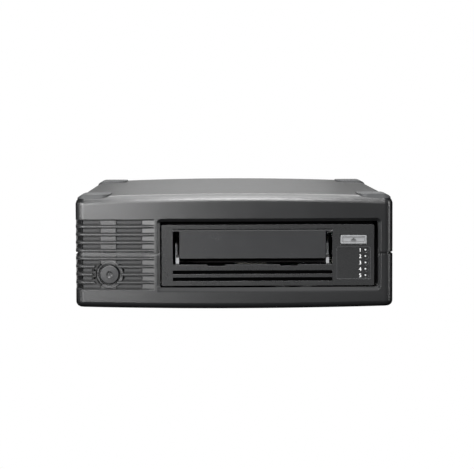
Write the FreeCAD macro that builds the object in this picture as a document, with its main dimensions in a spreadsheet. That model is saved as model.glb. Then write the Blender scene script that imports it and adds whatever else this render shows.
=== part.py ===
import FreeCAD, Part
import math
import os
import re

import Sketcher

# Desktop data tape drive: a two-part moulded case on rubber feet, holding a half-height
# cartridge drive, its power supply, a cooling fan and the rear connectors.
# X runs across the front (origin at mid width), Y from front to back (origin at mid depth)
# and Z up from the surface that the feet stand on. Millimetres throughout.

SIZES = {
    # moulded case
    "case_width": 222.0,
    "case_depth": 300.0,
    "case_height": 80.6,
    "foot_lift": 0.6,
    "seam_height": 38.4,
    "top_crown": 2.6,
    "bottom_crown": 1.1,
    "front_bow": 5.0,
    "corner_radius": 6.6,
    "top_edge": 5.6,
    "bottom_edge": 4.0,
    "case_wall": 2.6,
    "seam_gap": 1.5,
    "tongue_rise": 2.6,
    "tongue_root": 3.0,
    "case_boss_radius": 4.4,
    "case_boss_inset": 0.6,
    "case_boss_front": 32.0,
    "case_boss_back": 18.0,
    "screw_radius": 1.5,
    "screw_head_radius": 3.0,
    "screw_head_height": 2.2,
    "screw_grip": 8.0,
    "screw_thread": 12.0,
    # corner pads and feet
    "pad_width": 23.0,
    "pad_depth": 41.0,
    "pad_inset": 1.3,
    "pad_setback": 1.6,
    "pad_drop": 0.8,
    "pad_edge": 6.6,
    "pad_corner": 6.0,
    "foot_inset": 6.0,
    "foot_setback": 19.0,
    "foot_width": 26.0,
    "foot_depth": 30.0,
    "foot_edge": 1.0,
    "foot_corner": 5.0,
    # front vents
    "vent_rows": 9,
    "vent_pitch": 5.57,
    "vent_slot": 3.8,
    "vent_first": 15.7,
    "vent_depth": 9.0,
    "vent_recess": 1.3,
    "vent_side_reach": 14.0,
    "vent_left_inner": 17.7,
    "vent_land": 10.8,
    "vent_land_recess": 0.5,
    "vent_window": 18.2,
    "vent_left_outer": 4.5,
    "vent_ramp": 8.6,
    "vent_ramp_depth": 1.7,
    "rib_tip": 0.3,
    "screen_thickness": 0.8,
    "screen_margin": 2.6,
    "screen_hole": 1.5,
    "screen_pitch": 2.3,
    "screen_edge": 1.3,
    "screen_left_holes": 5,
    "screen_right_holes": 7,
    # power button
    "power_x": 87.2,
    "power_rise": 24.0,
    "power_radius": 6.75,
    "power_bore": 7.75,
    "power_collar": 8.8,
    "power_clearing": 9.6,
    "power_pit": 11.9,
    "power_pit_height": 15.0,
    "power_travel": 1.5,
    "power_flange_radius": 8.7,
    "power_flange": 1.2,
    "power_stem_radius": 2.5,
    "power_stem_length": 6.0,
    "power_dimple_radius": 2.5,
    "power_dimple": 0.5,
    "switch_body": 12.0,
    "board_thickness": 1.6,
    # bay in the case front and the drive's own bezel
    "drive_offset": 23.4,
    "drive_rise": 15.8,
    "bezel_width": 148.4,
    "bezel_height": 42.6,
    "bezel_setback": 4.6,
    "bezel_depth": 8.0,
    "bezel_plate": 2.6,
    "bezel_rim": 1.8,
    "bay_gap_left": 1.0,
    "bay_gap_right": 2.8,
    "bay_gap_bottom": 1.1,
    "bay_gap_top": 2.4,
    "bay_corner": 1.2,
    "bay_chamfer": 2.2,
    "aperture_inset": 7.8,
    "aperture_width": 111.5,
    "aperture_rise": 14.8,
    "aperture_height": 24.8,
    "notch_width": 11.0,
    "notch_spread": 25.3,
    "notch_depth": 1.0,
    "bezel_slot": 2.6,
    "bezel_slot_rise": 3.2,
    "bezel_slot_pitch": 4.9,
    # door flap
    "door_thickness": 1.6,
    "door_setback": 0.9,
    "door_gap": 0.35,
    "door_side": 4.7,
    "door_lift": 4.2,
    "pin_radius": 0.4,
    "pin_fit": 0.04,
    "pin_seat": 2.5,
    "lug_width": 3.6,
    "lug_size": 3.6,
    "peg_radius": 0.8,
    "peg_drop": 1.8,
    "peg_back": 1.6,
    "spring_wire": 0.25,
    "spring_pitch": 0.7,
    "spring_length": 3.5,
    # eject button and status lights
    "eject_width": 18.1,
    "eject_height": 5.9,
    "eject_inset": 14.35,
    "eject_rise": 32.15,
    "eject_gap": 0.35,
    "eject_proud": 0.4,
    "eject_travel": 0.8,
    "eject_flange": 0.8,
    "eject_switch": 2.0,
    "eject_switch_width": 6.0,
    "eject_switch_height": 5.0,
    "light_radius": 1.0,
    "light_well": 1.9,
    "light_well_depth": 0.5,
    "light_inset": 5.8,
    "light_rise": 24.6,
    "light_pitch": 4.45,
    "light_count": 5,
    "light_panel_width": 23.7,
    "light_panel_height": 21.9,
    "light_panel_inset": 2.5,
    "light_panel_rise": 4.5,
    "light_panel_recess": 0.3,
    # drive chassis
    "chassis_width": 146.0,
    "chassis_height": 40.4,
    "chassis_length": 200.0,
    "chassis_wall": 2.0,
    "chassis_lift": 0.6,
    "cover_thickness": 1.0,
    "running_fit": 0.05,
    "moving_gap": 0.3,
    # cartridge tray and its loader
    "cartridge_width": 102.0,
    "cartridge_depth": 105.4,
    "cartridge_height": 21.5,
    "cartridge_play": 0.6,
    "tray_wall": 1.2,
    "tray_lip": 4.0,
    "tray_start": 23.8,
    "tray_step": 0.8,
    "load_stroke": 16.0,
    "load_drop": 4.5,
    "tray_pin_radius": 1.2,
    "tray_pin_inset": 16.0,
    "tray_pin_drop": 17.0,
    "carriage_wall": 1.4,
    "carriage_rise": 5.0,
    "carriage_height": 20.0,
    "gear_module": 0.8,
    "gear_teeth": 20,
    "pinion_teeth": 10,
    "gear_width": 4.0,
    "gear_rise": 7.0,
    "gear_backlash": 0.15,
    "gear_y": 75.0,
    "loader_motor_radius": 7.0,
    "loader_motor_height": 5.5,
    "rack_teeth": 14,
    "rack_lead": 9,
    # reels
    "spindle_radius": 3.0,
    "chuck_radius": 13.0,
    "chuck_top": 9.2,
    "chuck_motor_radius": 20.0,
    "motor_height": 2.4,
    "take_up_radius": 28.0,
    "take_up_hub": 14.0,
    "reel_flange": 1.2,
    "tape_gap": 13.6,
    "reel_rise": 8.4,
    # tape path
    "plate_thickness": 3.0,
    "roller_radius": 4.0,
    "roller_flange": 5.0,
    "roller_height": 15.0,
    "roller_pin": 1.5,
    "roller_rise": 8.0,
    "head_travel": 3.0,
    "head_height": 13.0,
    "head_width": 14.0,
    "head_depth": 9.0,
    "head_post": 2.0,
    # boards inside
    "drive_board_drop": 8.0,
    "drive_board_depth": 52.0,
    "standoff_radius": 2.5,
    "chip_height": 1.8,
    # brackets
    "bracket_thickness": 1.2,
    "bracket_foot": 10.0,
    "bracket_height": 32.0,
    "bracket_length": 110.0,
    "bracket_y": 75.0,
    "bracket_window_end": 26.0,
    "bracket_window_rise": 8.0,
    "bracket_window_height": 10.0,
    "bracket_screw_drop": 5.0,
    "bracket_boss_height": 8.0,
    "bracket_boss_radius": 4.0,
    "bracket_boss_pitch": 80.0,
    # rear panel and what it carries
    "rear_recess": 7.0,
    "panel_thickness": 1.2,
    "inlet_x": 81.0,
    "inlet_rise": 26.6,
    "inlet_width": 27.0,
    "inlet_height": 19.6,
    "inlet_flange_width": 31.0,
    "inlet_flange_height": 23.4,
    "inlet_flange": 2.4,
    "inlet_length": 18.0,
    "inlet_wall": 1.4,
    "inlet_cavity_depth": 15.0,
    "socket_x": 20.0,
    "socket_rise": 24.6,
    "socket_pitch": 20.0,
    "socket_width": 28.0,
    "socket_height": 10.4,
    "socket_wall": 1.2,
    "socket_length": 20.0,
    "socket_proud": 2.4,
    "socket_cavity": 12.0,
    "fan_x": 55.0,
    "fan_rise": 39.4,
    "fan_size": 60.0,
    "fan_depth": 25.0,
    "fan_bore": 28.6,
    "fan_hub": 12.5,
    "fan_tip_gap": 0.9,
    "fan_blades": 7,
    "fan_blade": 1.4,
    "fan_strut": 4.0,
    "fan_screw_pitch": 50.0,
    "guard_wire": 0.9,
    "guard_arm": 1.1,
    "guard_rings": 4,
    # power supply
    "psu_width": 36.0,
    "psu_left": 98.0,
    "psu_depth": 100.0,
    "psu_height": 50.0,
    "psu_wall": 1.2,
    "psu_rear_gap": 2.0,
    "psu_board_lift": 4.0,
    # cables
    "power_cable_radius": 2.5,
    "data_cable_radius": 3.0,
    "switch_cable_radius": 1.5,
}

os.makedirs("parts", exist_ok=True)
doc = FreeCAD.newDocument("TapeDrive")
sheet = doc.addObject("Spreadsheet::Sheet", "Sizes")
for row, (alias, value) in enumerate(SIZES.items(), start=1):
    sheet.set(f"A{row}", alias)
    sheet.set(f"B{row}", str(value))
    sheet.setAlias(f"B{row}", alias)
doc.recompute()

# ---------------------------------------------------------------- derived places
BOTTOM = "foot_lift"
TOP = "(foot_lift + case_height)"
SEAM = "(foot_lift + seam_height)"
FRONT = "(-case_depth/2)"
BACK = "(case_depth/2)"
HALF = "(case_width/2)"
BOW_RADIUS = "(case_width^2/8/front_bow + front_bow/2)"
PANEL_BACK = "(case_depth/2 - rear_recess)"
PANEL_FRONT = "(case_depth/2 - rear_recess - panel_thickness)"
FLOOR = "(foot_lift + bottom_crown + case_wall)"

POWER_X = "(-power_x)"
POWER_Z = "(foot_lift + power_rise)"

BEZEL_LEFT = "(drive_offset - bezel_width/2)"
BEZEL_RIGHT = "(drive_offset + bezel_width/2)"
BEZEL_BASE = "(foot_lift + drive_rise)"
BEZEL_TOP = "(foot_lift + drive_rise + bezel_height)"
BEZEL_FACE = "(-case_depth/2 + bezel_setback)"
BEZEL_INNER = "(-case_depth/2 + bezel_setback + bezel_plate)"
BEZEL_BACK = "(-case_depth/2 + bezel_setback + bezel_depth)"

SLOT_LEFT = f"({BEZEL_LEFT} + aperture_inset)"
SLOT_RIGHT = f"({SLOT_LEFT} + aperture_width)"
SLOT_MIDDLE = f"({SLOT_LEFT} + aperture_width/2)"
SLOT_BASE = f"({BEZEL_BASE} + aperture_rise)"
SLOT_TOP = f"({SLOT_BASE} + aperture_height)"

DOOR_FACE = f"({BEZEL_FACE} + door_setback)"
HINGE_Y = f"({BEZEL_FACE} + door_setback + door_thickness/2)"
HINGE_Z = f"({SLOT_TOP} - door_gap - door_thickness/2)"
PEG_Y = f"({BEZEL_INNER} + peg_back)"
PEG_Z = f"({SLOT_TOP} - peg_drop)"

CHASSIS_LEFT = "(drive_offset - chassis_width/2)"
CHASSIS_RIGHT = "(drive_offset + chassis_width/2)"
CHASSIS_BASE = f"({BEZEL_BASE} + chassis_lift)"
CHASSIS_FLOOR = f"({CHASSIS_BASE} + chassis_wall)"
CHASSIS_TOP = f"({CHASSIS_BASE} + chassis_height)"
CHASSIS_BACK = f"({BEZEL_BACK} + chassis_length)"

TRAY_FRONT = f"({BEZEL_FACE} + tray_start)"
TRAY_LENGTH = "(cartridge_depth + 2*cartridge_play + tray_wall)"
TRAY_BACK = f"({TRAY_FRONT} + {TRAY_LENGTH})"
TRAY_HALF = "(cartridge_width/2 + cartridge_play)"
TRAY_FLOOR = f"({SLOT_BASE} + tray_step)"
TRAY_TOP = f"({TRAY_FLOOR} + cartridge_height + cartridge_play + tray_wall)"
TRAY_PIN_Z = f"({TRAY_TOP} - tray_pin_drop)"
HUB_Y = f"({TRAY_FRONT} + cartridge_play + cartridge_depth/2 + load_stroke)"
CARRIAGE_INNER = f"({TRAY_HALF} + tray_wall + moving_gap)"
CARRIAGE_OUTER = f"({CARRIAGE_INNER} + carriage_wall)"
CARRIAGE_BASE = f"({CHASSIS_FLOOR} + carriage_rise)"
GEAR_RADIUS = "(gear_module*gear_teeth/2)"
PINION_RADIUS = "(gear_module*pinion_teeth/2)"
GEAR_X = f"({SLOT_MIDDLE} + {CARRIAGE_OUTER} + 1.25*gear_module + {GEAR_RADIUS} + gear_backlash)"
GEAR_Y = "(-gear_y)"
PINION_Y = f"({GEAR_Y} - {GEAR_RADIUS} - {PINION_RADIUS} - gear_backlash)"
GEAR_Z = f"({CHASSIS_FLOOR} + gear_rise)"
TAKE_UP_Y = f"({CHASSIS_BACK} - take_up_radius - 3)"
REEL_Z = f"({CHASSIS_FLOOR} + reel_rise)"
ROLLER_Z = f"({CHASSIS_FLOOR} + roller_rise)"

FAN_Z = "(foot_lift + fan_rise)"
INLET_X = "(-inlet_x)"
INLET_Z = "(foot_lift + inlet_rise)"
SOCKET_X = "(-socket_x)"


def spread(centre, half):
    """Low and high expressions about a centre."""
    return (f"{centre} - {half}", f"{centre} + {half}")


def face_y(x):
    """Y of the bowed front face at the given X."""
    return f"({FRONT} + {BOW_RADIUS} - sqrt({BOW_RADIUS}^2 - ({x})^2))"


POWER_FACE = face_y(POWER_X)
POWER_FLANGE_FRONT = f"({face_y(f'{POWER_X} - power_flange_radius')} + case_wall + moving_gap)"
POWER_STEM_END = f"({POWER_FLANGE_FRONT} + power_flange + power_stem_length)"
SWITCH_FRONT = f"({POWER_STEM_END} + power_travel + moving_gap)"
SWITCH_BACK = f"({SWITCH_FRONT} + switch_body)"
PSU_X = ("(-psu_left)", "(-psu_left + psu_width)")
PSU_BACK = f"({PANEL_BACK} - inlet_length - psu_rear_gap)"
PSU_Y = (f"({PSU_BACK} - psu_depth)", PSU_BACK)
PSU_TOP = f"({FLOOR} + psu_height)"


# ---------------------------------------------------------------- expression helpers
NAMES = re.compile(r"\b(" + "|".join(SIZES) + r")\b")
PLANE_ROLES = {"XY": "XY_Plane", "XZ": "XZ_Plane", "YZ": "YZ_Plane"}
AXES = {
    "X": FreeCAD.Rotation(FreeCAD.Vector(0, 1, 0), 90),
    "Y": FreeCAD.Rotation(FreeCAD.Vector(1, 0, 0), -90),
    "Z": FreeCAD.Rotation(),
}


def cells(text):
    """Point every size name in an expression at its cell."""
    return NAMES.sub(r"Sizes.\1", str(text))


def number(text):
    """Present value of an expression."""
    value = sheet.evalExpression(cells(text))
    return float(getattr(value, "Value", value))


def bind(target, **values):
    """Bind properties of an object to expressions; __ stands for a dot."""
    for name, text in values.items():
        target.setExpression(name.replace("__", "."), cells(text))


def place(target, x="0", y="0", z="0"):
    """Bind an object's position."""
    bind(target, Placement__Base__x=x, Placement__Base__y=y, Placement__Base__z=z)
    return target


# ---------------------------------------------------------------- primitives and booleans
def block(name, x, y, z):
    """Box between the low and high expressions given for each axis."""
    box = doc.addObject("Part::Box", name)
    lengths = [f"{high} - ({low})" for low, high in (x, y, z)]
    bind(box, Length=lengths[0], Width=lengths[1], Height=lengths[2])
    return place(box, x[0], y[0], z[0])


def rod(name, axis, centre, radius, span):
    """Cylinder along an axis; centre holds the other two coordinates in X, Y, Z order."""
    cylinder = doc.addObject("Part::Cylinder", name)
    cylinder.Placement = FreeCAD.Placement(FreeCAD.Vector(), AXES[axis])
    bind(cylinder, Radius=radius, Height=f"{span[1]} - ({span[0]})")
    first, second = centre
    spots = {
        "X": (span[0], first, second),
        "Y": (first, span[0], second),
        "Z": (first, second, span[0]),
    }
    return place(cylinder, *spots[axis])


def join(name, pieces):
    """Fuse several solids into one object."""
    fusion = doc.addObject("Part::MultiFuse", name)
    fusion.Shapes = pieces
    return fusion


def group(name, pieces):
    """Keep several separate solids together in one object."""
    compound = doc.addObject("Part::Compound", name)
    compound.Links = pieces
    return compound


def cut(name, base, tool):
    """Base without the tool."""
    result = doc.addObject("Part::Cut", name)
    result.Base = base
    result.Tool = tool
    return result


def overlap(name, base, tool):
    """What two solids share."""
    result = doc.addObject("Part::Common", name)
    result.Base = base
    result.Tool = tool
    return result


# ---------------------------------------------------------------- part design helpers
def loop(*points):
    """Closed outline; a point with a third entry starts an arc of that radius."""
    return ("loop", points)


def oblong(x, y):
    """Rectangle between low and high expressions."""
    return loop((x[0], y[0]), (x[1], y[0]), (x[1], y[1]), (x[0], y[1]))


def disc(x, y, radius):
    """Circle about a point."""
    return ("disc", (x, y, radius))


class Body:
    """A PartDesign body that is built feature by feature."""

    def __init__(self, name):
        self.body = doc.addObject("PartDesign::Body", name)
        self.name = name
        self.count = 0
        self.sketch = None

    def plane(self, key):
        """Origin plane of the body."""
        role = PLANE_ROLES[key]
        return next(item for item in self.body.Origin.OriginFeatures if item.Role == role)

    def label(self, kind):
        """Fresh name for the next feature."""
        self.count += 1
        return f"{self.name}_{kind}_{self.count}"

    def hold(self, sketch, kind, geometry, point, axis, text):
        """Tie one coordinate of a sketch point to an expression."""
        number_now = number(text)
        item = Sketcher.Constraint(kind, -1, 1, geometry, point, number_now)
        index = sketch.addConstraint(item)
        sketch.setExpression(f"Constraints[{index}]", cells(text))

    def trace(self, sketch, points):
        """Draw one closed outline of lines and arcs."""
        spots = [FreeCAD.Vector(number(p[0]), number(p[1]), 0) for p in points]
        first = sketch.GeometryCount
        ends = []
        for index, point in enumerate(points):
            start = spots[index]
            finish = spots[(index + 1) % len(points)]
            if len(point) < 3:
                geometry = sketch.addGeometry(Part.LineSegment(start, finish))
                ends.append((1, 2))
            else:
                radius = number(point[2])
                chord = finish - start
                half = chord.Length / 2
                sagitta = abs(radius) - (radius**2 - half**2) ** 0.5
                side = FreeCAD.Vector(chord.y, -chord.x, 0).normalize()
                middle = start + chord * 0.5 + side * (sagitta if radius > 0 else -sagitta)
                geometry = sketch.addGeometry(Part.Arc(start, middle, finish))
                near = (sketch.getPoint(geometry, 1) - start).Length
                far = (sketch.getPoint(geometry, 2) - start).Length
                ends.append((1, 2) if near < far else (2, 1))
                index_now = sketch.addConstraint(
                    Sketcher.Constraint("Radius", geometry, abs(radius)))
                sign = "" if radius > 0 else "-"
                sketch.setExpression(f"Constraints[{index_now}]", cells(f"{sign}({point[2]})"))
        for index, point in enumerate(points):
            geometry = first + index
            following = first + (index + 1) % len(points)
            after = ends[(index + 1) % len(points)]
            self.hold(sketch, "DistanceX", geometry, ends[index][0], 0, point[0])
            self.hold(sketch, "DistanceY", geometry, ends[index][0], 1, point[1])
            sketch.addConstraint(Sketcher.Constraint(
                "Coincident", geometry, ends[index][1], following, after[0]))

    def draw(self, plane, outlines, offset="0"):
        """Sketch on an origin plane, moved along the plane's normal by offset."""
        sketch = self.body.newObject("Sketcher::SketchObject", self.label("sketch"))
        sketch.AttachmentSupport = [(self.plane(plane), "")]
        sketch.MapMode = "FlatFace"
        bind(sketch, AttachmentOffset__Base__z=offset)
        for kind, data in outlines:
            if kind == "loop":
                self.trace(sketch, data)
                continue
            centre = FreeCAD.Vector(number(data[0]), number(data[1]), 0)
            circle = sketch.addGeometry(Part.Circle(centre, FreeCAD.Vector(0, 0, 1), number(data[2])))
            self.hold(sketch, "DistanceX", circle, 3, 0, data[0])
            self.hold(sketch, "DistanceY", circle, 3, 1, data[1])
            index = sketch.addConstraint(Sketcher.Constraint("Radius", circle, number(data[2])))
            sketch.setExpression(f"Constraints[{index}]", cells(data[2]))
        self.sketch = sketch
        return sketch

    def extrude(self, kind, plane, outlines, span):
        """Pad or pocket between two expressions along the plane's normal axis."""
        offset = f"-({span[1]})" if plane == "XZ" else span[0]
        sketch = self.draw(plane, outlines, offset)
        feature = self.body.newObject(f"PartDesign::{kind}", self.label(kind.lower()))
        feature.Profile = sketch
        feature.Reversed = kind == "Pocket"
        bind(feature, Length=f"{span[1]} - ({span[0]})")
        return feature

    def pad(self, plane, outlines, span):
        """Add material."""
        return self.extrude("Pad", plane, outlines, span)

    def pocket(self, plane, outlines, span):
        """Take material away."""
        return self.extrude("Pocket", plane, outlines, span)

    def turn(self, kind, plane, outlines, axis):
        """Revolution or groove about a sketch axis: H_Axis or V_Axis."""
        sketch = self.draw(plane, outlines)
        feature = self.body.newObject(f"PartDesign::{kind}", self.label(kind.lower()))
        feature.Profile = sketch
        feature.ReferenceAxis = (sketch, [axis])
        feature.Angle = 360
        return feature

    def row(self, feature, axis, pitch, copies):
        """Repeat a feature in a straight line along a sketch axis."""
        pattern = self.body.newObject("PartDesign::LinearPattern", self.label("row"))
        pattern.Originals = [feature]
        pattern.Direction = (feature.Profile[0], [axis])
        bind(pattern, Occurrences=copies, Length=f"({pitch})*({copies} - 1)")
        self.body.Tip = pattern
        return pattern

    def ring(self, feature, copies):
        """Repeat a feature round the normal of its sketch."""
        pattern = self.body.newObject("PartDesign::PolarPattern", self.label("ring"))
        pattern.Originals = [feature]
        pattern.Axis = (feature.Profile[0], ["N_Axis"])
        pattern.Angle = 360
        bind(pattern, Occurrences=copies)
        self.body.Tip = pattern
        return pattern

    def dress(self, kind, size, chosen):
        """Fillet or chamfer the edges of the present tip that pass a test."""
        doc.recompute()
        base = self.body.Tip
        edges = [f"Edge{i}" for i, edge in enumerate(base.Shape.Edges, start=1) if chosen(edge)]
        feature = self.body.newObject(f"PartDesign::{kind}", self.label(kind.lower()))
        feature.Base = (base, edges)
        bind(feature, **{"Radius" if kind == "Fillet" else "Size": size})
        return feature


def along(axis):
    """Test for straight edges that run along X, Y or Z."""
    index = "XYZ".index(axis)

    def chosen(edge):
        if len(edge.Vertexes) != 2:
            return False
        step = edge.Vertexes[1].Point - edge.Vertexes[0].Point
        others = [abs(step[k]) for k in range(3) if k != index]
        return max(others) < 1e-4

    return chosen


# ---------------------------------------------------------------- moulded case
def case_form(name, inset, opening=False):
    """Closed solid of the case, moved inwards by inset; front corners and edges rounded."""
    form = Body(name)
    half = f"({HALF} - ({inset}))"
    low = f"({BOTTOM} + bottom_crown + {inset})"
    high = f"({TOP} - top_crown - ({inset}))"
    belly = "(case_width^2/8/bottom_crown + bottom_crown/2)"
    crown = "(case_width^2/8/top_crown + top_crown/2)"
    form.pad("XZ", [loop(
        (f"-{half}", low, belly),
        (half, low),
        (half, high, crown),
        (f"-{half}", high),
    )], (f"{FRONT} - 1", BACK))
    side = f"({HALF} + 4)"
    nose = f"({face_y(HALF)} + {inset})"
    form.pocket("XY", [loop(
        (f"-{side}", f"{FRONT} - 4"),
        (side, f"{FRONT} - 4"),
        (side, nose),
        (half, nose, f"-({BOW_RADIUS} - ({inset}))"),
        (f"-{half}", nose),
        (f"-{side}", nose),
    )], ("-1", f"{TOP} + 1"))
    rear = number(BACK) - 1
    upright = along("Z")
    form.dress("Fillet", f"max(corner_radius - ({inset}); 0.6)", lambda edge: (
        upright(edge) and edge.BoundBox.YMax < 0))
    roof = number(high) - 0.5
    form.dress("Fillet", f"max(top_edge - ({inset}); 0.6)", lambda edge: (
        edge.BoundBox.ZMin > roof and edge.BoundBox.YMin < rear))
    ground = number(low) + 0.5
    form.dress("Fillet", f"max(bottom_edge - ({inset}); 0.6)", lambda edge: (
        edge.BoundBox.ZMax < ground and edge.BoundBox.YMin < rear))
    if opening:
        form.pocket("XZ", [oblong(*BAY)], (f"{FRONT} - 2", f"{FRONT} + 30"))
        left, right = (number(edge) for edge in BAY[0])
        base, lid = (number(edge) for edge in BAY[1])
        level = along("Y")
        form.dress("Fillet", "bay_corner", lambda edge: (
            level(edge) and left - 1 < edge.BoundBox.XMin and edge.BoundBox.XMax < right + 1
            and edge.BoundBox.YMax < 0))
        depth = number(face_y(BAY[0][1])) + 1
        form.dress("Chamfer", "bay_chamfer", lambda edge: (
            edge.BoundBox.YMax < depth
            and left - 1 < edge.BoundBox.XMin and edge.BoundBox.XMax < right + 1
            and base - 1 < edge.BoundBox.ZMin and edge.BoundBox.ZMax < lid + 1))
    return form.body


BAY = (
    (f"({BEZEL_LEFT} - bay_gap_left)", f"({BEZEL_RIGHT} + bay_gap_right)"),
    (f"({BEZEL_BASE} - bay_gap_bottom)", f"({BEZEL_TOP} + bay_gap_top)"),
)
VENT_Z = "(foot_lift + vent_first)"
VENT_TOP = f"({VENT_Z} + vent_pitch*(vent_rows - 1))"
VENT_INNER = f"(-{HALF} + vent_left_inner)"
LAND_RIGHT = f"({VENT_INNER} + vent_land)"
WINDOW_RIGHT = f"({LAND_RIGHT} + vent_window)"
RIB_TIP = f"({WINDOW_RIGHT} + vent_ramp)"


def vent_cutter():
    """All that the grille takes out of the front: slots that wrap the corner and fade out in ramps."""
    comb = Body("vent_comb")
    outside = f"(-{HALF} - 3)"
    half = "(vent_slot/2)"
    flare = "(vent_pitch/2 - rib_tip/2)"
    slot = comb.pad("XZ", [loop(
        (outside, f"{VENT_Z} - {half}"),
        (WINDOW_RIGHT, f"{VENT_Z} - {half}"),
        (RIB_TIP, f"{VENT_Z} - {flare}"),
        (RIB_TIP, f"{VENT_Z} + {flare}"),
        (WINDOW_RIGHT, f"{VENT_Z} + {half}"),
        (outside, f"{VENT_Z} + {half}"),
    )], (f"{FRONT} - 3", f"{FRONT} + vent_side_reach + 3"))
    comb.row(slot, "V_Axis", "vent_pitch", "vent_rows")

    depth = Body("vent_depth")
    deep = f"({FRONT} + vent_depth)"
    outer = f"(-{HALF} + vent_left_outer)"
    side = f"(-{HALF} + vent_recess)"
    depth.pad("XY", [loop(
        (outside, f"{FRONT} - 2"),
        (RIB_TIP, f"{FRONT} - 2"),
        (RIB_TIP, f"{face_y(RIB_TIP)}"),
        (WINDOW_RIGHT, f"{face_y(WINDOW_RIGHT)} + vent_ramp_depth"),
        (WINDOW_RIGHT, deep),
        (LAND_RIGHT, deep),
        (LAND_RIGHT, f"{face_y(LAND_RIGHT)} + vent_land_recess"),
        (VENT_INNER, f"{face_y(VENT_INNER)} + vent_land_recess"),
        (VENT_INNER, deep),
        (outer, deep),
        (outer, f"{face_y(outer)} + vent_recess + 0.2"),
        (side, f"{face_y(outer)} + vent_left_outer + vent_recess"),
        (side, f"{FRONT} + vent_side_reach"),
        (outside, f"{FRONT} + vent_side_reach"),
    )], (f"{VENT_Z} - vent_pitch", f"{VENT_TOP} + vent_pitch"))
    slots = overlap("vent_slots", comb.body, depth.body)

    centre = (POWER_X, POWER_Z)
    span = (f"{FRONT} - 1", f"{FRONT} + vent_depth + 1")
    slots = cut("vent_slots_clear", slots, rod("power_clearing_keep", "Y", centre, "power_clearing", span))
    ring = cut(
        "power_ring",
        rod("power_ring_outer", "Y", centre, "power_pit", span),
        rod("power_ring_inner", "Y", centre, "power_collar", (f"{FRONT} - 2", f"{FRONT} + 30")),
    )
    left = block(
        "power_ring_left",
        (f"{POWER_X} - power_pit - 1", POWER_X),
        (f"{FRONT} - 3", f"{FRONT} + 20"),
        spread(POWER_Z, "power_pit_height/2"),
    )
    bore = rod("power_bore_tool", "Y", centre, "power_bore", span)
    return join("vent_tool", [slots, overlap("power_pit_tool", ring, left), bore])


BOSS_X = f"({HALF} - case_wall - case_boss_radius - case_boss_inset)"
BOSS_FRONT = f"({FRONT} + case_boss_front)"
BOSS_BACK = f"({PANEL_FRONT} - case_boss_back)"
CORNERS = {
    "front_left": (f"-{BOSS_X}", BOSS_FRONT),
    "front_right": (BOSS_X, BOSS_FRONT),
    "rear_left": (f"-{BOSS_X}", BOSS_BACK),
    "rear_right": (BOSS_X, BOSS_BACK),
}
BRACKET_BOSS_TOP = f"({FLOOR} + bracket_boss_height)"
BRACKET_Y = "(-bracket_y + bracket_length/2)"
BRACKET_SPOTS = [f"({BRACKET_Y} - bracket_boss_pitch/2)", f"({BRACKET_Y} + bracket_boss_pitch/2)"]
BRACKET_FEET = {
    "left": f"({CHASSIS_LEFT} - bracket_thickness - bracket_foot/2)",
    "right": f"({CHASSIS_RIGHT} + bracket_thickness + bracket_foot/2)",
}


def case_shells():
    """Upper and lower halves of the case, with their tongue joint, screw columns and grille."""
    outer = case_form("case_outer", "0", opening=True)
    middle = case_form("case_middle", "case_wall/2")
    inner = case_form("case_inner", "case_wall")
    skin = cut("case_skin", outer, vent_cutter())
    bay = block("bay_tool", BAY[0], (f"{FRONT} - 5", f"{FRONT} + 12"), BAY[1])
    wide = (f"-{HALF} - 5", f"{HALF} + 5")
    length = (f"{FRONT} - 5", f"{BACK} + 5")
    above = block("above_seam", wide, length, (f"{SEAM} + seam_gap/2", f"{TOP} + 5"))
    below = block("below_seam", wide, length, ("-5", f"{SEAM} - seam_gap/2"))
    tongue_slab = block("tongue_slab", wide, length, (f"{SEAM} - tongue_root", f"{SEAM} + tongue_rise"))
    rebate_slab = block("rebate_slab", wide, length, (f"{SEAM} - 1", f"{SEAM} + tongue_rise + 0.1"))
    panel_y = (f"{PANEL_FRONT} - running_fit", f"{PANEL_BACK} + running_fit")
    groove = overlap("panel_groove", middle, block("groove_slab", wide, panel_y, ("-5", f"{TOP} + 5")))

    tongue = cut("tongue_trimmed", overlap("tongue_ring", middle, tongue_slab), bay)
    lower = join("lower_blank", [overlap("lower_skin", skin, below), tongue])
    lower = cut("lower_hollow", cut("lower_open", lower, inner), groove)
    upper = cut("upper_blank", overlap("upper_skin", skin, above), overlap("rebate", middle, rebate_slab))
    upper = cut("upper_hollow", cut("upper_open", upper, inner), groove)

    columns = []
    drills = []
    caps = []
    threads = []
    for corner, spot in CORNERS.items():
        columns.append(rod(f"column_{corner}", "Z", spot, "case_boss_radius", (BOTTOM_SKIN, SEAM)))
        drills.append(rod(f"drill_{corner}", "Z", spot, "screw_radius", ("0", f"{SEAM} + 1")))
        drills.append(rod(f"counter_{corner}", "Z", spot, "screw_head_radius", ("0", SCREW_SEAT)))
        caps.append(rod(f"cap_{corner}", "Z", spot, "case_boss_radius", (SEAM, CEILING)))
        threads.append(rod(f"thread_{corner}", "Z", spot, "screw_radius", (f"{SEAM} - 1", SCREW_TIP)))
    for side, x in BRACKET_FEET.items():
        for index, y in enumerate(BRACKET_SPOTS, start=1):
            columns.append(rod(
                f"bracket_boss_{side}_{index}", "Z", (x, y), "bracket_boss_radius",
                (BOTTOM_SKIN, BRACKET_BOSS_TOP)))
    for index, y in enumerate((f"{PSU_Y[0]} + 12", f"{PSU_Y[1]} - 12")):
        columns.append(block(f"supply_rest_{index}", PSU_X, spread(f"({y})", "3"), (BOTTOM_SKIN, FLOOR)))
    columns.append(block(
        "switch_rest", spread(POWER_X, "switch_body"),
        (f"{SWITCH_BACK} - 1", f"{SWITCH_BACK} + board_thickness + 1"), (BOTTOM_SKIN, FLOOR)))
    lower = cut("lower_case", join("lower_bossed", [lower] + columns), group("lower_drills", drills))
    upper = cut("upper_case", join("upper_bossed", [upper] + caps), group("upper_threads", threads))
    return upper, lower, outer, middle, inner


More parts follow.
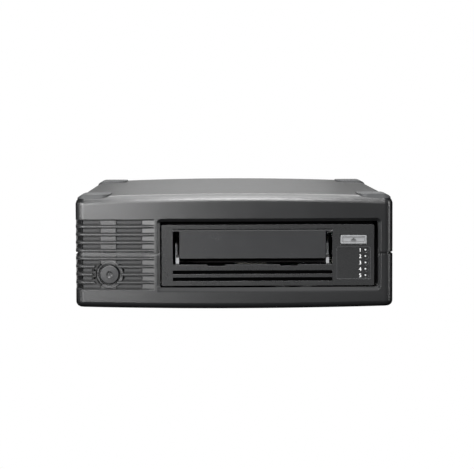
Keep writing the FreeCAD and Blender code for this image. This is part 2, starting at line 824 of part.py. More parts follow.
BOTTOM_SKIN = "(foot_lift + bottom_crown + case_wall/2)"
CEILING = f"({TOP} - top_crown - case_wall/2)"
SCREW_SEAT = f"({SEAM} - screw_grip)"
SCREW_TIP = f"({SEAM} + screw_thread)"

upper_case, lower_case, case_outer, case_middle, case_inner = case_shells()


def shoulders(name, edge, span, low):
    """Bar as long as the case whose two lower or two upper long edges are rounded."""
    bar = Body(name)
    bar.pad("XZ", [oblong((f"-{HALF}", HALF), span)], (f"{FRONT} - 1", f"{BACK} + 1"))
    middle = (number(span[0]) + number(span[1])) / 2
    level = along("Y")
    bar.dress("Fillet", edge, lambda line: level(line) and (line.BoundBox.ZMax < middle) == low)
    return bar.body


def rubber_corner(kind, corner, z, bar):
    """Rubber block at one corner, cut from a rounded bar and seated on the crowned case."""
    name = {"pad": "top_pad", "foot": "foot"}[kind] + f"_{corner}"
    outer = f"({HALF} - {kind}_inset)"
    inner = f"({outer} - {kind}_width)"
    x = (f"-{outer}", f"-{inner}") if corner.endswith("left") else (inner, outer)
    if corner.startswith("front"):
        far = f"{FRONT} + {kind}_setback + {kind}_depth"
        outline = loop(
            (x[0], f"{face_y(x[0])} + {kind}_setback", BOW_RADIUS),
            (x[1], f"{face_y(x[1])} + {kind}_setback"),
            (x[1], far),
            (x[0], far),
        )
    else:
        near = f"{BACK} - {kind}_inset"
        outline = oblong(x, (f"{near} - {kind}_depth", near))
    footprint = Body(f"{name}_footprint")
    footprint.pad("XY", [outline], z)
    footprint.dress("Fillet", f"{kind}_corner", along("Z"))
    return cut(name, overlap(f"{name}_block", bar, footprint.body), case_outer)


PAD_SPAN = (f"{TOP} - top_crown - top_edge", f"{TOP} - pad_drop")
FOOT_SPAN = ("0", f"{BOTTOM} + bottom_crown + bottom_edge")
pad_bar = shoulders("pad_bar", "pad_edge", (SEAM, PAD_SPAN[1]), False)
foot_bar = shoulders("foot_bar", "foot_edge", ("0", SEAM), True)
for corner in CORNERS:
    rubber_corner("pad", corner, PAD_SPAN, pad_bar)
    rubber_corner("foot", corner, FOOT_SPAN, foot_bar)


# ---------------------------------------------------------------- grille screen
def vent_screen():
    """Punched screen that lies on the inner face of the front, behind the grille."""
    x = (f"-{HALF} + vent_left_outer - 1", f"{WINDOW_RIGHT} + screen_margin")
    z = (f"{VENT_Z} - screen_margin", f"{VENT_TOP} + screen_margin")
    region = block("screen_region", x, (f"{FRONT} - 1", f"{FRONT} + vent_depth + 5"), z)
    behind = case_form("screen_behind", "case_wall + screen_thickness")
    band = cut("screen_band", overlap("screen_skin", case_inner, region), behind)

    comb = Body("screen_comb")
    holes = []
    for edge, count in ((VENT_INNER, "screen_left_holes"), (WINDOW_RIGHT, "screen_right_holes")):
        for index in range(int(number(count))):
            right = f"({edge} - screen_edge - {index}*screen_pitch)"
            holes.append(oblong(
                (f"{right} - screen_hole", right),
                (f"{VENT_Z} - screen_hole/2", f"{VENT_Z} + screen_hole/2")))
    row = comb.pad("XZ", holes, (f"{FRONT} - 2", f"{FRONT} + 20"))
    comb.row(row, "V_Axis", "vent_pitch", "vent_rows")
    bore = rod("screen_bore", "Y", (POWER_X, POWER_Z), "power_clearing", (f"{FRONT} - 2", f"{FRONT} + 20"))
    return cut("vent_screen", band, group("screen_holes", [comb.body, bore]))


vent_screen()


# ---------------------------------------------------------------- power button and its switch


def power_button():
    """Dished round cap with a retaining flange and a stem, turned about its own axis."""
    cap = Body("power_button")
    length = f"({POWER_STEM_END} - {POWER_FACE})"
    flange_front = f"({POWER_FLANGE_FRONT} - {POWER_FACE})"
    flange_back = f"({flange_front} + power_flange)"
    cap.turn("Revolution", "XY", [loop(
        ("0", "power_dimple"),
        ("power_dimple_radius*0.6", "power_dimple"),
        ("power_dimple_radius", "0"),
        ("power_radius - 0.6", "0.1"),
        ("power_radius", "0.7"),
        ("power_radius", flange_front),
        ("power_flange_radius", flange_front),
        ("power_flange_radius", flange_back),
        ("power_stem_radius", flange_back),
        ("power_stem_radius", length),
        ("0", length),
    )], "V_Axis")
    return place(cap.body, POWER_X, POWER_FACE, POWER_Z)


def power_switch():
    """Push switch on a small upright board that stands on the case floor."""
    half = "switch_body/2"
    switch = block(
        "switch_case", (f"{POWER_X} - {half}", f"{POWER_X} + {half}"), (SWITCH_FRONT, SWITCH_BACK),
        (f"{POWER_Z} - {half}", f"{POWER_Z} + {half}"))
    board = block(
        "switch_board", (f"{POWER_X} - switch_body", f"{POWER_X} + switch_body"),
        (SWITCH_BACK, f"{SWITCH_BACK} + board_thickness"), (FLOOR, f"{POWER_Z} + switch_body"))
    return join("power_switch", [switch, board])


power_button()
power_switch()


# ---------------------------------------------------------------- drive bezel
def light_z(index):
    """Height of one status light, counted from the top."""
    return f"({BEZEL_BASE} + light_rise - {index}*light_pitch)"


EJECT_X = f"({BEZEL_RIGHT} - eject_inset)"
EJECT_Z = f"({BEZEL_BASE} + eject_rise)"
LIGHT_X = f"({BEZEL_RIGHT} - light_inset)"
PIN_SPAN = (f"{SLOT_LEFT} - pin_seat", f"{SLOT_RIGHT} + pin_seat")
SPRING_SPAN = (f"({SLOT_RIGHT} - spring_length)", f"({SLOT_RIGHT})")
SWITCH_FACE = f"({BEZEL_INNER} + moving_gap + eject_flange + eject_travel + moving_gap)"
BOARD_FRONT = f"({SWITCH_FACE} + eject_switch)"


def drive_bezel():
    """Plastic front of the drive: cartridge slot with finger notches, air slots, light panel."""
    bezel = Body("bezel_body")
    bezel.pad("XZ", [oblong((BEZEL_LEFT, BEZEL_RIGHT), (BEZEL_BASE, BEZEL_TOP))], (BEZEL_FACE, BEZEL_BACK))
    bezel.dress("Fillet", "bezel_rim/2", along("Y"))
    bezel.pocket("XZ", [oblong(
        (f"{BEZEL_LEFT} + bezel_rim", f"{BEZEL_RIGHT} - bezel_rim"),
        (f"{BEZEL_BASE} + bezel_rim", f"{BEZEL_TOP} - bezel_rim"),
    )], (BEZEL_INNER, f"{BEZEL_BACK} + 1"))
    through = (f"{BEZEL_FACE} - 1", f"{BEZEL_INNER} + 1")
    notch = "notch_width/2"
    left_notch = spread(f"{SLOT_MIDDLE} - notch_spread", notch)
    right_notch = spread(f"{SLOT_MIDDLE} + notch_spread", notch)
    dip = f"{SLOT_BASE} - notch_depth"
    bezel.pocket("XZ", [loop(
        (SLOT_LEFT, SLOT_BASE),
        (f"{left_notch[0]} - notch_depth", SLOT_BASE),
        (left_notch[0], dip),
        (left_notch[1], dip),
        (f"{left_notch[1]} + notch_depth", SLOT_BASE),
        (f"{right_notch[0]} - notch_depth", SLOT_BASE),
        (right_notch[0], dip),
        (right_notch[1], dip),
        (f"{right_notch[1]} + notch_depth", SLOT_BASE),
        (SLOT_RIGHT, SLOT_BASE),
        (SLOT_RIGHT, SLOT_TOP),
        (SLOT_LEFT, SLOT_TOP),
    )], through)
    air = bezel.pocket("XZ", [oblong(
        (SLOT_LEFT, SLOT_RIGHT),
        (f"{BEZEL_BASE} + bezel_slot_rise", f"{BEZEL_BASE} + bezel_slot_rise + bezel_slot"),
    )], through)
    bezel.row(air, "V_Axis", "bezel_slot_pitch", "2")
    panel_right = f"({BEZEL_RIGHT} - light_panel_inset)"
    panel_base = f"({BEZEL_BASE} + light_panel_rise)"
    bezel.pocket("XZ", [oblong(
        (f"{panel_right} - light_panel_width", panel_right),
        (panel_base, f"{panel_base} + light_panel_height"),
    )], (f"{BEZEL_FACE} - 1", f"{BEZEL_FACE} + light_panel_recess"))
    bezel.pocket("XZ", [oblong(
        spread(EJECT_X, "(eject_width/2 + eject_gap)"),
        spread(EJECT_Z, "(eject_height/2 + eject_gap)"),
    )], through)
    well_floor = f"{BEZEL_FACE} + light_panel_recess + light_well_depth"
    lowest = light_z("(light_count - 1)")
    well = bezel.pocket("XZ", [disc(LIGHT_X, lowest, "light_well")], (f"{BEZEL_FACE} - 1", well_floor))
    bezel.row(well, "V_Axis", "light_pitch", "light_count")
    bore = bezel.pocket("XZ", [disc(LIGHT_X, lowest, "light_radius")], through)
    bezel.row(bore, "V_Axis", "light_pitch", "light_count")

    lug_x = (f"{SLOT_RIGHT} + door_gap", f"{SLOT_RIGHT} + lug_width")
    lug_y = (f"{BEZEL_INNER} - 0.2", f"{PEG_Y} + lug_size/2")
    lug = block("spring_lug", lug_x, lug_y, spread(PEG_Z, "lug_size/2"))
    peg = rod("spring_peg", "X", (PEG_Y, PEG_Z), "peg_radius", (SPRING_SPAN[0], f"{lug_x[0]} + 0.2"))
    posts = [
        rod("board_post_low", "Y", (f"{LIGHT_X} - light_panel_width + 3", f"{BEZEL_BASE} + 4.5"), "1.4",
            (BEZEL_INNER, BOARD_FRONT)),
        rod("board_post_high", "Y", (f"{LIGHT_X}", f"{BEZEL_TOP} - 5"), "1.4", (BEZEL_INNER, BOARD_FRONT)),
    ]
    pin_hole = rod("pin_hole", "X", (HINGE_Y, HINGE_Z), "pin_radius", PIN_SPAN)
    return cut("drive_bezel", join("bezel_full", [bezel.body, lug, peg] + posts), pin_hole)


def eject_button():
    """Oblong key with a dished face and a retaining flange behind the bezel."""
    key = Body("eject_button")
    x = spread(EJECT_X, "eject_width/2")
    z = spread(EJECT_Z, "eject_height/2")
    front = f"({BEZEL_FACE} - eject_proud)"
    stop = f"({BEZEL_INNER} + moving_gap)"
    key.pad("XZ", [oblong(x, z)], (front, f"{stop} + eject_flange"))
    key.dress("Fillet", "eject_gap + 0.3", along("Y"))
    key.pad("XZ", [oblong(
        (f"{x[0]} - 1", f"{x[1]} + 1"), (f"{z[0]} - 1", f"{z[1]} + 1"))], (stop, f"{stop} + eject_flange"))
    key.pocket("XZ", [oblong(
        (f"{x[0]} + 0.9", f"{x[1]} - 0.9"), (f"{z[0]} + 0.9", f"{z[1]} - 0.9"))],
        (f"{front} - 1", f"{front} + 0.35"))
    return key.body


def front_board():
    """Board behind the light panel, with the eject switch on it."""
    board = block(
        "front_board_plate",
        (f"{BEZEL_RIGHT} - light_panel_width - light_panel_inset",
         f"{CHASSIS_RIGHT} - chassis_wall - moving_gap"),
        (BOARD_FRONT, f"{BOARD_FRONT} + board_thickness"),
        (f"{CHASSIS_FLOOR} + moving_gap", f"{CHASSIS_TOP} - 1"))
    switch = block(
        "eject_switch_body", spread(EJECT_X, "eject_switch_width/2"), (SWITCH_FACE, BOARD_FRONT),
        spread(EJECT_Z, "eject_switch_height/2"))
    return join("front_board", [board, switch])


drive_bezel()
eject_button()
front_board()
for index in range(int(number("light_count"))):
    rod(f"light_pipe_{index + 1}", "Y", (LIGHT_X, light_z(index)), "light_radius",
        (f"{BEZEL_FACE} + light_panel_recess", BOARD_FRONT))


# ---------------------------------------------------------------- door over the cartridge slot
def door_flap():
    """Flap whose rounded upper edge is a full-width hinge barrel and whose panel is narrower."""
    door = Body("door_panel")
    panel = (f"{SLOT_LEFT} + door_side", f"{SLOT_RIGHT} - door_side")
    door.pad("XZ", [oblong(panel, (f"{SLOT_BASE} + door_lift", HINGE_Z))],
             (DOOR_FACE, f"{DOOR_FACE} + door_thickness"))
    span = (f"{SLOT_LEFT} + door_gap", f"{SLOT_RIGHT} - door_gap")
    barrel = rod("door_barrel", "X", (HINGE_Y, HINGE_Z), "door_thickness/2", span)
    tool = rod("door_bore", "X", (HINGE_Y, HINGE_Z), "pin_radius + pin_fit", PIN_SPAN)
    return cut("door_flap", join("door_solid", [door.body, barrel]), tool)


def door_spring():
    """Torsion coil on a peg behind the bezel, at the end of the door's barrel."""
    coil_radius = "peg_radius + spring_wire"
    start = f"({SPRING_SPAN[0]} + spring_wire)"
    helix = doc.addObject("Part::Helix", "spring_path")
    bind(helix, Pitch="spring_pitch", Height="spring_length - 2*spring_wire", Radius=coil_radius)
    helix.Placement = FreeCAD.Placement(FreeCAD.Vector(), AXES["X"])
    place(helix, start, PEG_Y, PEG_Z)
    wire = doc.addObject("Part::Circle", "spring_section")
    bind(wire, Radius="spring_wire")
    wire.Placement = FreeCAD.Placement(FreeCAD.Vector(), FreeCAD.Rotation(FreeCAD.Vector(1, 0, 0), 90))
    place(wire, start, PEG_Y, f"{PEG_Z} - ({coil_radius})")
    coil = doc.addObject("Part::Sweep", "door_spring")
    coil.Sections = [wire]
    coil.Spine = (helix, ["Edge1"])
    coil.Solid = True
    coil.Frenet = True
    return coil


door_flap()
rod("door_pin", "X", (HINGE_Y, HINGE_Z), "pin_radius", PIN_SPAN)
door_spring()


# ---------------------------------------------------------------- drive chassis and cover
RAIL_TOP = f"({CARRIAGE_BASE} - moving_gap)"
DRIVE_BOARD_Z = f"({CHASSIS_TOP} - drive_board_drop)"
BOARD_Y = (f"({CHASSIS_BACK} - drive_board_depth - 3)", f"({CHASSIS_BACK} - 3)")
BOARD_X = (f"({CHASSIS_LEFT} + chassis_wall + 1)", f"({CHASSIS_RIGHT} - chassis_wall - 1)")
STANDOFFS = [
    (f"({x})", f"({y})")
    for x in (f"{BOARD_X[0]} + 3.5", f"{BOARD_X[1]} - 3.5")
    for y in (f"{BOARD_Y[0]} + 3.5", f"{BOARD_Y[1]} - 3.5")
]
HUB = (SLOT_MIDDLE, HUB_Y)
TAKE_UP = (f"({CHASSIS_LEFT} + 36 + take_up_radius)", TAKE_UP_Y)
ROLLERS = [
    (f"({CHASSIS_RIGHT} - 18)", f"({TAKE_UP_Y} - 27)"),
    (f"({CHASSIS_RIGHT} - 14)", f"({TAKE_UP_Y} - 11)"),
    (f"({CHASSIS_RIGHT} - 18)", f"({TAKE_UP_Y} + 10)"),
    (f"({CHASSIS_RIGHT} - 32)", f"({TAKE_UP_Y} + 21)"),
]
HEAD = (f"({CHASSIS_RIGHT} - 9)", f"({TAKE_UP_Y} - 0.5)")


def drive_chassis():
    """Folded tray of the drive: floor, two sides, a low rear wall, rails, posts and standoffs."""
    tray = Body("chassis_body")
    left_inner = f"({CHASSIS_LEFT} + chassis_wall)"
    right_inner = f"({CHASSIS_RIGHT} - chassis_wall)"
    tray.pad("XZ", [loop(
        (CHASSIS_LEFT, CHASSIS_BASE),
        (CHASSIS_RIGHT, CHASSIS_BASE),
        (CHASSIS_RIGHT, CHASSIS_TOP),
        (right_inner, CHASSIS_TOP),
        (right_inner, CHASSIS_FLOOR),
        (left_inner, CHASSIS_FLOOR),
        (left_inner, CHASSIS_TOP),
        (CHASSIS_LEFT, CHASSIS_TOP),
    )], (BEZEL_BACK, CHASSIS_BACK))
    tray.pad("XZ", [oblong(
        (CHASSIS_LEFT, CHASSIS_RIGHT), (CHASSIS_BASE, f"{CHASSIS_TOP} - 12"))],
        (f"{CHASSIS_BACK} - chassis_wall", CHASSIS_BACK))
    slot_y = (f"{BEZEL_BACK} + 12", f"{BEZEL_BACK} + 34")
    air = tray.pocket("XY", [
        oblong((f"{left_inner} + 8", f"{left_inner} + 12"), slot_y),
    ], (f"{CHASSIS_BASE} - 1", f"{CHASSIS_FLOOR} + 1"))
    tray.row(air, "H_Axis", "10", "9")

    parts = [tray.body]
    for index, side in enumerate(("-", "+")):
        middle = f"({SLOT_MIDDLE} {side} ({CARRIAGE_INNER} + carriage_wall/2))"
        parts.append(block(
            f"rail_{index}", spread(middle, "carriage_wall"),
            (f"{TRAY_FRONT} + 20", f"{TRAY_BACK} + load_stroke - 14"), (CHASSIS_FLOOR, RAIL_TOP)))
    spot = (GEAR_X, GEAR_Y)
    parts.append(rod("gear_post", "Z", spot, "roller_pin", (CHASSIS_FLOOR, f"{GEAR_Z} + gear_width + 1")))
    parts.append(rod("gear_seat", "Z", spot, "roller_pin + 1.5", (CHASSIS_FLOOR, f"{GEAR_Z} - running_fit")))
    for index, spot in enumerate(STANDOFFS):
        parts.append(rod(f"standoff_{index}", "Z", spot, "standoff_radius", (CHASSIS_FLOOR, DRIVE_BOARD_Z)))
    return join("drive_chassis", parts)


def drive_cover():
    """Lid of the drive with turned-down sides and stamped stiffening ribs."""
    lid = Body("drive_cover")
    skirt = f"({CHASSIS_TOP} - 5)"
    lid.pad("XZ", [loop(
        (f"{CHASSIS_LEFT} - cover_thickness", skirt),
        (CHASSIS_LEFT, skirt),
        (CHASSIS_LEFT, CHASSIS_TOP),
        (CHASSIS_RIGHT, CHASSIS_TOP),
        (CHASSIS_RIGHT, skirt),
        (f"{CHASSIS_RIGHT} + cover_thickness", skirt),
        (f"{CHASSIS_RIGHT} + cover_thickness", f"{CHASSIS_TOP} + cover_thickness"),
        (f"{CHASSIS_LEFT} - cover_thickness", f"{CHASSIS_TOP} + cover_thickness"),
    )], (BEZEL_BACK, CHASSIS_BACK))
    rib = lid.pad("XY", [oblong(
        (f"{CHASSIS_LEFT} + 12", f"{CHASSIS_RIGHT} - 12"), (f"{BEZEL_BACK} + 24", f"{BEZEL_BACK} + 30"))],
        (f"{CHASSIS_TOP} + cover_thickness/2", f"{CHASSIS_TOP} + cover_thickness + 0.6"))
    lid.row(rib, "V_Axis", "36", "5")
    return lid.body


drive_chassis()
drive_cover()


# ---------------------------------------------------------------- cartridge tray and loader
def cartridge_tray():
    """Open-fronted bucket with lips over its sides, a slot for the chuck and four guide pins."""
    half = TRAY_HALF
    outer = f"({half} + tray_wall)"
    middle = SLOT_MIDDLE
    roof = f"({TRAY_TOP} - tray_wall)"
    base = f"({TRAY_FLOOR} - tray_wall)"
    tray = Body("tray_body")
    tray.pad("XZ", [loop(
        (f"{middle} - {outer}", base),
        (f"{middle} + {outer}", base),
        (f"{middle} + {outer}", TRAY_TOP),
        (f"{middle} + {half} - tray_lip", TRAY_TOP),
        (f"{middle} + {half} - tray_lip", roof),
        (f"{middle} + {half}", roof),
        (f"{middle} + {half}", TRAY_FLOOR),
        (f"{middle} - {half}", TRAY_FLOOR),
        (f"{middle} - {half}", roof),
        (f"{middle} - {half} + tray_lip", roof),
        (f"{middle} - {half} + tray_lip", TRAY_TOP),
        (f"{middle} - {outer}", TRAY_TOP),
    )], (TRAY_FRONT, TRAY_BACK))
    tray.pad("XZ", [oblong((f"{middle} - {outer}", f"{middle} + {outer}"), (base, f"{TRAY_FLOOR} + 8"))],
             (f"{TRAY_BACK} - tray_wall", TRAY_BACK))
    reach = "(chuck_radius + 2)"
    hub = f"({HUB_Y} - load_stroke)"
    window = (f"({hub} - 0.4*{reach})", f"({hub} + load_stroke + 0.4*{reach})")
    tray.pocket("XY", [loop(
        (f"{middle} - {reach}", window[0], f"1.1*{reach}"),
        (f"{middle} + {reach}", window[0]),
        (f"{middle} + {reach}", window[1], f"1.1*{reach}"),
        (f"{middle} - {reach}", window[1]),
    )], (f"{base} - 1", f"{TRAY_FLOOR} + 1"))
    pins = []
    for index, y in enumerate((f"{TRAY_FRONT} + tray_pin_inset", f"{TRAY_BACK} - tray_pin_inset")):
        for side, span in (
            ("left", (f"{middle} - {CARRIAGE_OUTER} - 0.2", f"{middle} - {outer} + 0.2")),
            ("right", (f"{middle} + {outer} - 0.2", f"{middle} + {CARRIAGE_OUTER} + 0.2")),
        ):
            pins.append(rod(f"tray_pin_{side}_{index}", "X", (y, TRAY_PIN_Z), "tray_pin_radius", span))
    return join("cartridge_tray", [tray.body] + pins)


def loader_carriage():
    """Two slotted side plates joined by a rear bridge, with a rack along the right plate."""
    middle = SLOT_MIDDLE
    top = f"({CARRIAGE_BASE} + carriage_height)"
    y = (f"({TRAY_FRONT} + 4)", f"({TRAY_BACK} + 3)")
    frame = Body("loader_carriage")
    slot = "(tray_pin_radius + moving_gap)"
    cutouts = [oblong(spread(f"({y_pin})", slot), (f"{TRAY_PIN_Z} - load_drop - {slot}", f"{top} + 1"))
               for y_pin in (f"{TRAY_FRONT} + tray_pin_inset", f"{TRAY_BACK} - tray_pin_inset")]
    for side in ("-", "+"):
        near = f"{middle} {side} {CARRIAGE_INNER}"
        far = f"{middle} {side} {CARRIAGE_OUTER}"
        span = (far, near) if side == "-" else (near, far)
        frame.pad("YZ", [oblong(y, (CARRIAGE_BASE, top))], span)
        if side == "-":
            bridge = oblong(spread(middle, CARRIAGE_OUTER), (f"{y[1]} - carriage_wall", y[1]))
            frame.pad("XY", [bridge], (CARRIAGE_BASE, f"{TRAY_FLOOR} - load_drop - 2*tray_wall"))
    frame.pocket("YZ", cutouts, (f"{middle} - {CARRIAGE_OUTER} - 1", f"{middle} + {CARRIAGE_OUTER} + 1"))

    pitch = "gear_module*pi"
    start = f"({middle} + {CARRIAGE_OUTER})"
    first = f"({GEAR_Y} - (rack_lead + 0.5)*{pitch})"
    tip = f"{start} + 2.05*gear_module"
    tooth = frame.pad("XY", [loop(
        (f"{start} - 0.3", f"{first} - 0.3*{pitch}"),
        (tip, f"{first} - 0.12*{pitch}"),
        (tip, f"{first} + 0.12*{pitch}"),
        (f"{start} - 0.3", f"{first} + 0.3*{pitch}"),
    )], (GEAR_Z, f"{GEAR_Z} + gear_width"))
    frame.row(tooth, "V_Axis", pitch, "rack_teeth")
    return frame.body


def spur_gear(name, teeth, bore, spot):
    """Spur wheel with straight-sided teeth, built about its own axis."""
    wheel = Body(name)
    radius = f"(gear_module*{teeth}/2)"
    width = ("0", "gear_width")
    root = f"({radius} - 1.25*gear_module)"
    wheel.pad("XY", [disc("0", "0", f"{root} + 0.05"), disc("0", "0", bore)], width)
    tooth = wheel.pad("XY", [loop(
        (f"{root} - 0.3", "-0.52*gear_module*1.57"),
        (f"{radius} + gear_module*0.9", "-0.26*gear_module"),
        (f"{radius} + gear_module*0.9", "0.26*gear_module"),
        (f"{root} - 0.3", "0.52*gear_module*1.57"),
    )], width)
    wheel.ring(tooth, teeth)
    return place(wheel.body, *spot)


cartridge_tray()
loader_carriage()
spur_gear("loader_gear", "gear_teeth", "roller_pin + running_fit", (GEAR_X, GEAR_Y, GEAR_Z))
spur_gear("loader_pinion", "pinion_teeth", "1 + running_fit", (GEAR_X, PINION_Y, GEAR_Z))
join("loader_motor", [
    rod("motor_can", "Z", (GEAR_X, PINION_Y), "loader_motor_radius",
        (CHASSIS_FLOOR, f"{CHASSIS_FLOOR} + loader_motor_height")),
    rod("motor_shaft", "Z", (GEAR_X, PINION_Y), "1", (CHASSIS_FLOOR, f"{GEAR_Z} + gear_width + 1")),
])


# ---------------------------------------------------------------- reels and their motors
def reel_motor(name, spot, radius, top):
    """Flat motor on the chassis floor with a fixed spindle."""
    return join(name, [
        rod(f"{name}_stator", "Z", spot, radius, (CHASSIS_FLOOR, f"{CHASSIS_FLOOR} + motor_height")),
        rod(f"{name}_spindle", "Z", spot, "spindle_radius", (CHASSIS_FLOOR, top)),
    ])


def reel_chuck():
    """Toothed coupling that picks up the cartridge hub."""
    chuck = Body("reel_chuck")
    bore = "(spindle_radius + running_fit)"
    base = "(motor_height + moving_gap)"
    chuck.turn("Revolution", "XZ", [loop(
        (bore, base),
        ("chuck_radius + 3", base),
        ("chuck_radius + 3", f"{base} + 1.2"),
        ("chuck_radius - 1", f"{base} + 2.4"),
        ("chuck_radius - 1", "chuck_top - 1.2"),
        (bore, "chuck_top - 1.2"),
    )], "V_Axis")
    tooth = chuck.pad("XY", [loop(
        ("chuck_radius - 4.6", "-0.9"),
        ("chuck_radius - 1.2", "-1.1"),
        ("chuck_radius - 1.2", "1.1"),
        ("chuck_radius - 4.6", "0.9"),
    )], ("chuck_top - 1.4", "chuck_top"))
    chuck.ring(tooth, "16")
    return place(chuck.body, SLOT_MIDDLE, HUB_Y, CHASSIS_FLOOR)


def take_up_reel():
    """Reel with two flanges and a waisted hub with a leader slot."""
    reel = Body("take_up_reel")
    bore = "(spindle_radius + running_fit)"
    low = "(reel_rise)"
    upper = "(reel_rise + reel_flange + tape_gap)"
    reel.turn("Revolution", "XZ", [loop(
        (bore, "motor_height + moving_gap"),
        ("spindle_radius + 4", "motor_height + moving_gap"),
        ("spindle_radius + 5", low),
        ("take_up_radius", low),
        ("take_up_radius", f"{low} + reel_flange"),
        ("take_up_hub", f"{low} + reel_flange"),
        ("take_up_hub", upper),
        ("take_up_radius", upper),
        ("take_up_radius", f"{upper} + reel_flange"),
        (bore, f"{upper} + reel_flange"),
    )], "V_Axis")
    reel.pocket("XY", [oblong(("spindle_radius + 4", "take_up_hub + 1"), ("-1.6", "1.6"))],
                (f"{low} + reel_flange", f"{upper} + reel_flange + 1"))
    window = reel.pocket("XY", [loop(
        ("take_up_hub + 2.5", "-2.2"),
        ("take_up_radius - 2.5", "-3.4"),
        ("take_up_radius - 2.5", "3.4"),
        ("take_up_hub + 2.5", "2.2"),
    )], (upper, f"{upper} + reel_flange + 1"))
    reel.ring(window, "6")
    return place(reel.body, TAKE_UP[0], TAKE_UP[1], CHASSIS_FLOOR)


reel_motor("chuck_motor", HUB, "chuck_motor_radius", f"{CHASSIS_FLOOR} + chuck_top - 1.2")
reel_chuck()
reel_motor("take_up_motor", TAKE_UP, "take_up_radius - 4", f"{REEL_Z} + tape_gap + 2*reel_flange + 0.6")
take_up_reel()


# ---------------------------------------------------------------- tape path
def roller_plate():
    """Base plate of the tape path with the roller pins and the head's guide post."""
    x = (f"{ROLLERS[3][0]} - 9", f"{CHASSIS_RIGHT} - chassis_wall - 1")
    y = (f"{ROLLERS[0][1]} - 8", f"{ROLLERS[3][1]} + 5")
    plate = Body("roller_plate_blank")
    plate.pad("XY", [loop(
        (f"{ROLLERS[0][0]} - 8", y[0]),
        (x[1], y[0]),
        (x[1], y[1]),
        (x[0], y[1]),
        (x[0], f"{y[1]} - 11"),
        (f"{ROLLERS[0][0]} - 8", f"{ROLLERS[0][1]} + 10"),
    )], (CHASSIS_FLOOR, f"{CHASSIS_FLOOR} + plate_thickness"))
    pieces = [plate.body]
    base = CHASSIS_FLOOR
    for index, spot in enumerate(ROLLERS, start=1):
        tip = f"{ROLLER_Z} + roller_height + 0.6"
        seat = f"{ROLLER_Z} - running_fit"
        pieces.append(rod(f"roller_pin_{index}", "Z", spot, "roller_pin", (base, tip)))
        pieces.append(rod(f"roller_seat_{index}", "Z", spot, "roller_pin + 1.2", (base, seat)))
    top = f"{ROLLER_Z} + head_travel + head_height + head_travel + 1"
    pieces.append(rod("head_guide", "Z", HEAD, "head_post", (base, top)))
    holes = [
        rod(f"plate_hole_{index}", "Z", spot, "standoff_radius + moving_gap",
            (base, f"{base} + plate_thickness"))
        for index, spot in enumerate(STANDOFFS)
    ]
    return cut("roller_plate", join("roller_plate_pins", pieces), group("plate_holes", holes))


def guide_roller(index, spot):
    """Flanged tape roller."""
    roller = Body(f"guide_roller_{index}")
    bore = "(roller_pin + running_fit)"
    roller.turn("Revolution", "XZ", [loop(
        (bore, "0"),
        ("roller_flange", "0"),
        ("roller_flange", "0.8"),
        ("roller_radius", "1"),
        ("roller_radius", "roller_height - 1"),
        ("roller_flange", "roller_height - 0.8"),
        ("roller_flange", "roller_height"),
        (bore, "roller_height"),
    )], "V_Axis")
    return place(roller.body, spot[0], spot[1], ROLLER_Z)


def head_carriage():
    """Block that carries the tape head up and down its post."""
    x = (f"({HEAD[0]} - head_width)", f"({HEAD[0]} + 4)")
    carriage = Body("head_block")
    carriage.pad("XZ", [loop(
        (x[0], f"{HEAD_Z} + 2"),
        (f"{x[0]} + 5", HEAD_Z),
        (x[1], HEAD_Z),
        (x[1], f"{HEAD_Z} + head_height"),
        (f"{x[0]} + 5", f"{HEAD_Z} + head_height"),
        (x[0], f"{HEAD_Z} + head_height - 2"),
    )], spread(HEAD[1], "head_depth/2"))
    through = (f"{HEAD_Z} - 1", f"{HEAD_Z} + head_height + 1")
    bore = rod("head_bore", "Z", HEAD, "head_post + running_fit", through)
    return cut("head_carriage", carriage.body, bore)


HEAD_Z = f"({ROLLER_Z} + head_travel - 2)"
roller_plate()
for index, spot in enumerate(ROLLERS, start=1):
    guide_roller(index, spot)
head_carriage()


# ---------------------------------------------------------------- drive board
def drive_board():
    """Control board over the reels, with its chips and edge connectors."""
    top = f"({DRIVE_BOARD_Z} + board_thickness)"
    pieces = [block("drive_board_plate", BOARD_X, BOARD_Y, (DRIVE_BOARD_Z, top))]
    chips = [
        ("14", "14", "22", "18"),
        ("50", "20", "16", "16"),
        ("80", "12", "20", "12"),
        ("110", "24", "12", "18"),
    ]
    for index, (dx, dy, width, depth) in enumerate(chips):
        x = (f"{BOARD_X[0]} + {dx}", f"{BOARD_X[0]} + {dx} + {width}")
        y = (f"{BOARD_Y[0]} + {dy}", f"{BOARD_Y[0]} + {dy} + {depth}")
        pieces.append(block(f"chip_{index}", x, y, (top, f"{top} + chip_height")))
    return join("drive_board", pieces)


drive_board()


# ---------------------------------------------------------------- brackets that hold the drive
def drive_bracket(side):
    """Angle bracket: upright flange along the chassis side and a foot on two bosses."""
    foot_low = BRACKET_BOSS_TOP
    foot_top = f"({BRACKET_BOSS_TOP} + bracket_thickness)"
    top = f"({foot_top} + bracket_height)"
    heel, outward = (CHASSIS_LEFT, "-") if side == "left" else (CHASSIS_RIGHT, "+")
    out = f"({heel} {outward} bracket_thickness)"
    toe = f"({out} {outward} bracket_foot)"
    upright = (out, heel) if side == "left" else (heel, out)
    bracket = Body(f"bracket_{side}_body")
    points = [(heel, foot_low), (toe, foot_low), (toe, foot_top), (out, foot_top), (out, top), (heel, top)]
    bracket.pad("XZ", [loop(*points)], spread(BRACKET_Y, "bracket_length/2"))
    window = oblong(
        spread(BRACKET_Y, "bracket_length/2 - bracket_window_end"),
        (f"{foot_top} + bracket_window_rise", f"{foot_top} + bracket_window_rise + bracket_window_height"))
    bracket.pocket("YZ", [window], (f"{upright[0]} - 1", f"{upright[1]} + 1"))
    drills = [
        rod(f"bracket_drill_{side}_{index}", "X", (y, BRACKET_SCREW_Z), "screw_radius", upright)
        for index, y in enumerate(BRACKET_SPOTS)
    ]
    return cut(f"drive_bracket_{side}", bracket.body, group(f"bracket_drills_{side}", drills))


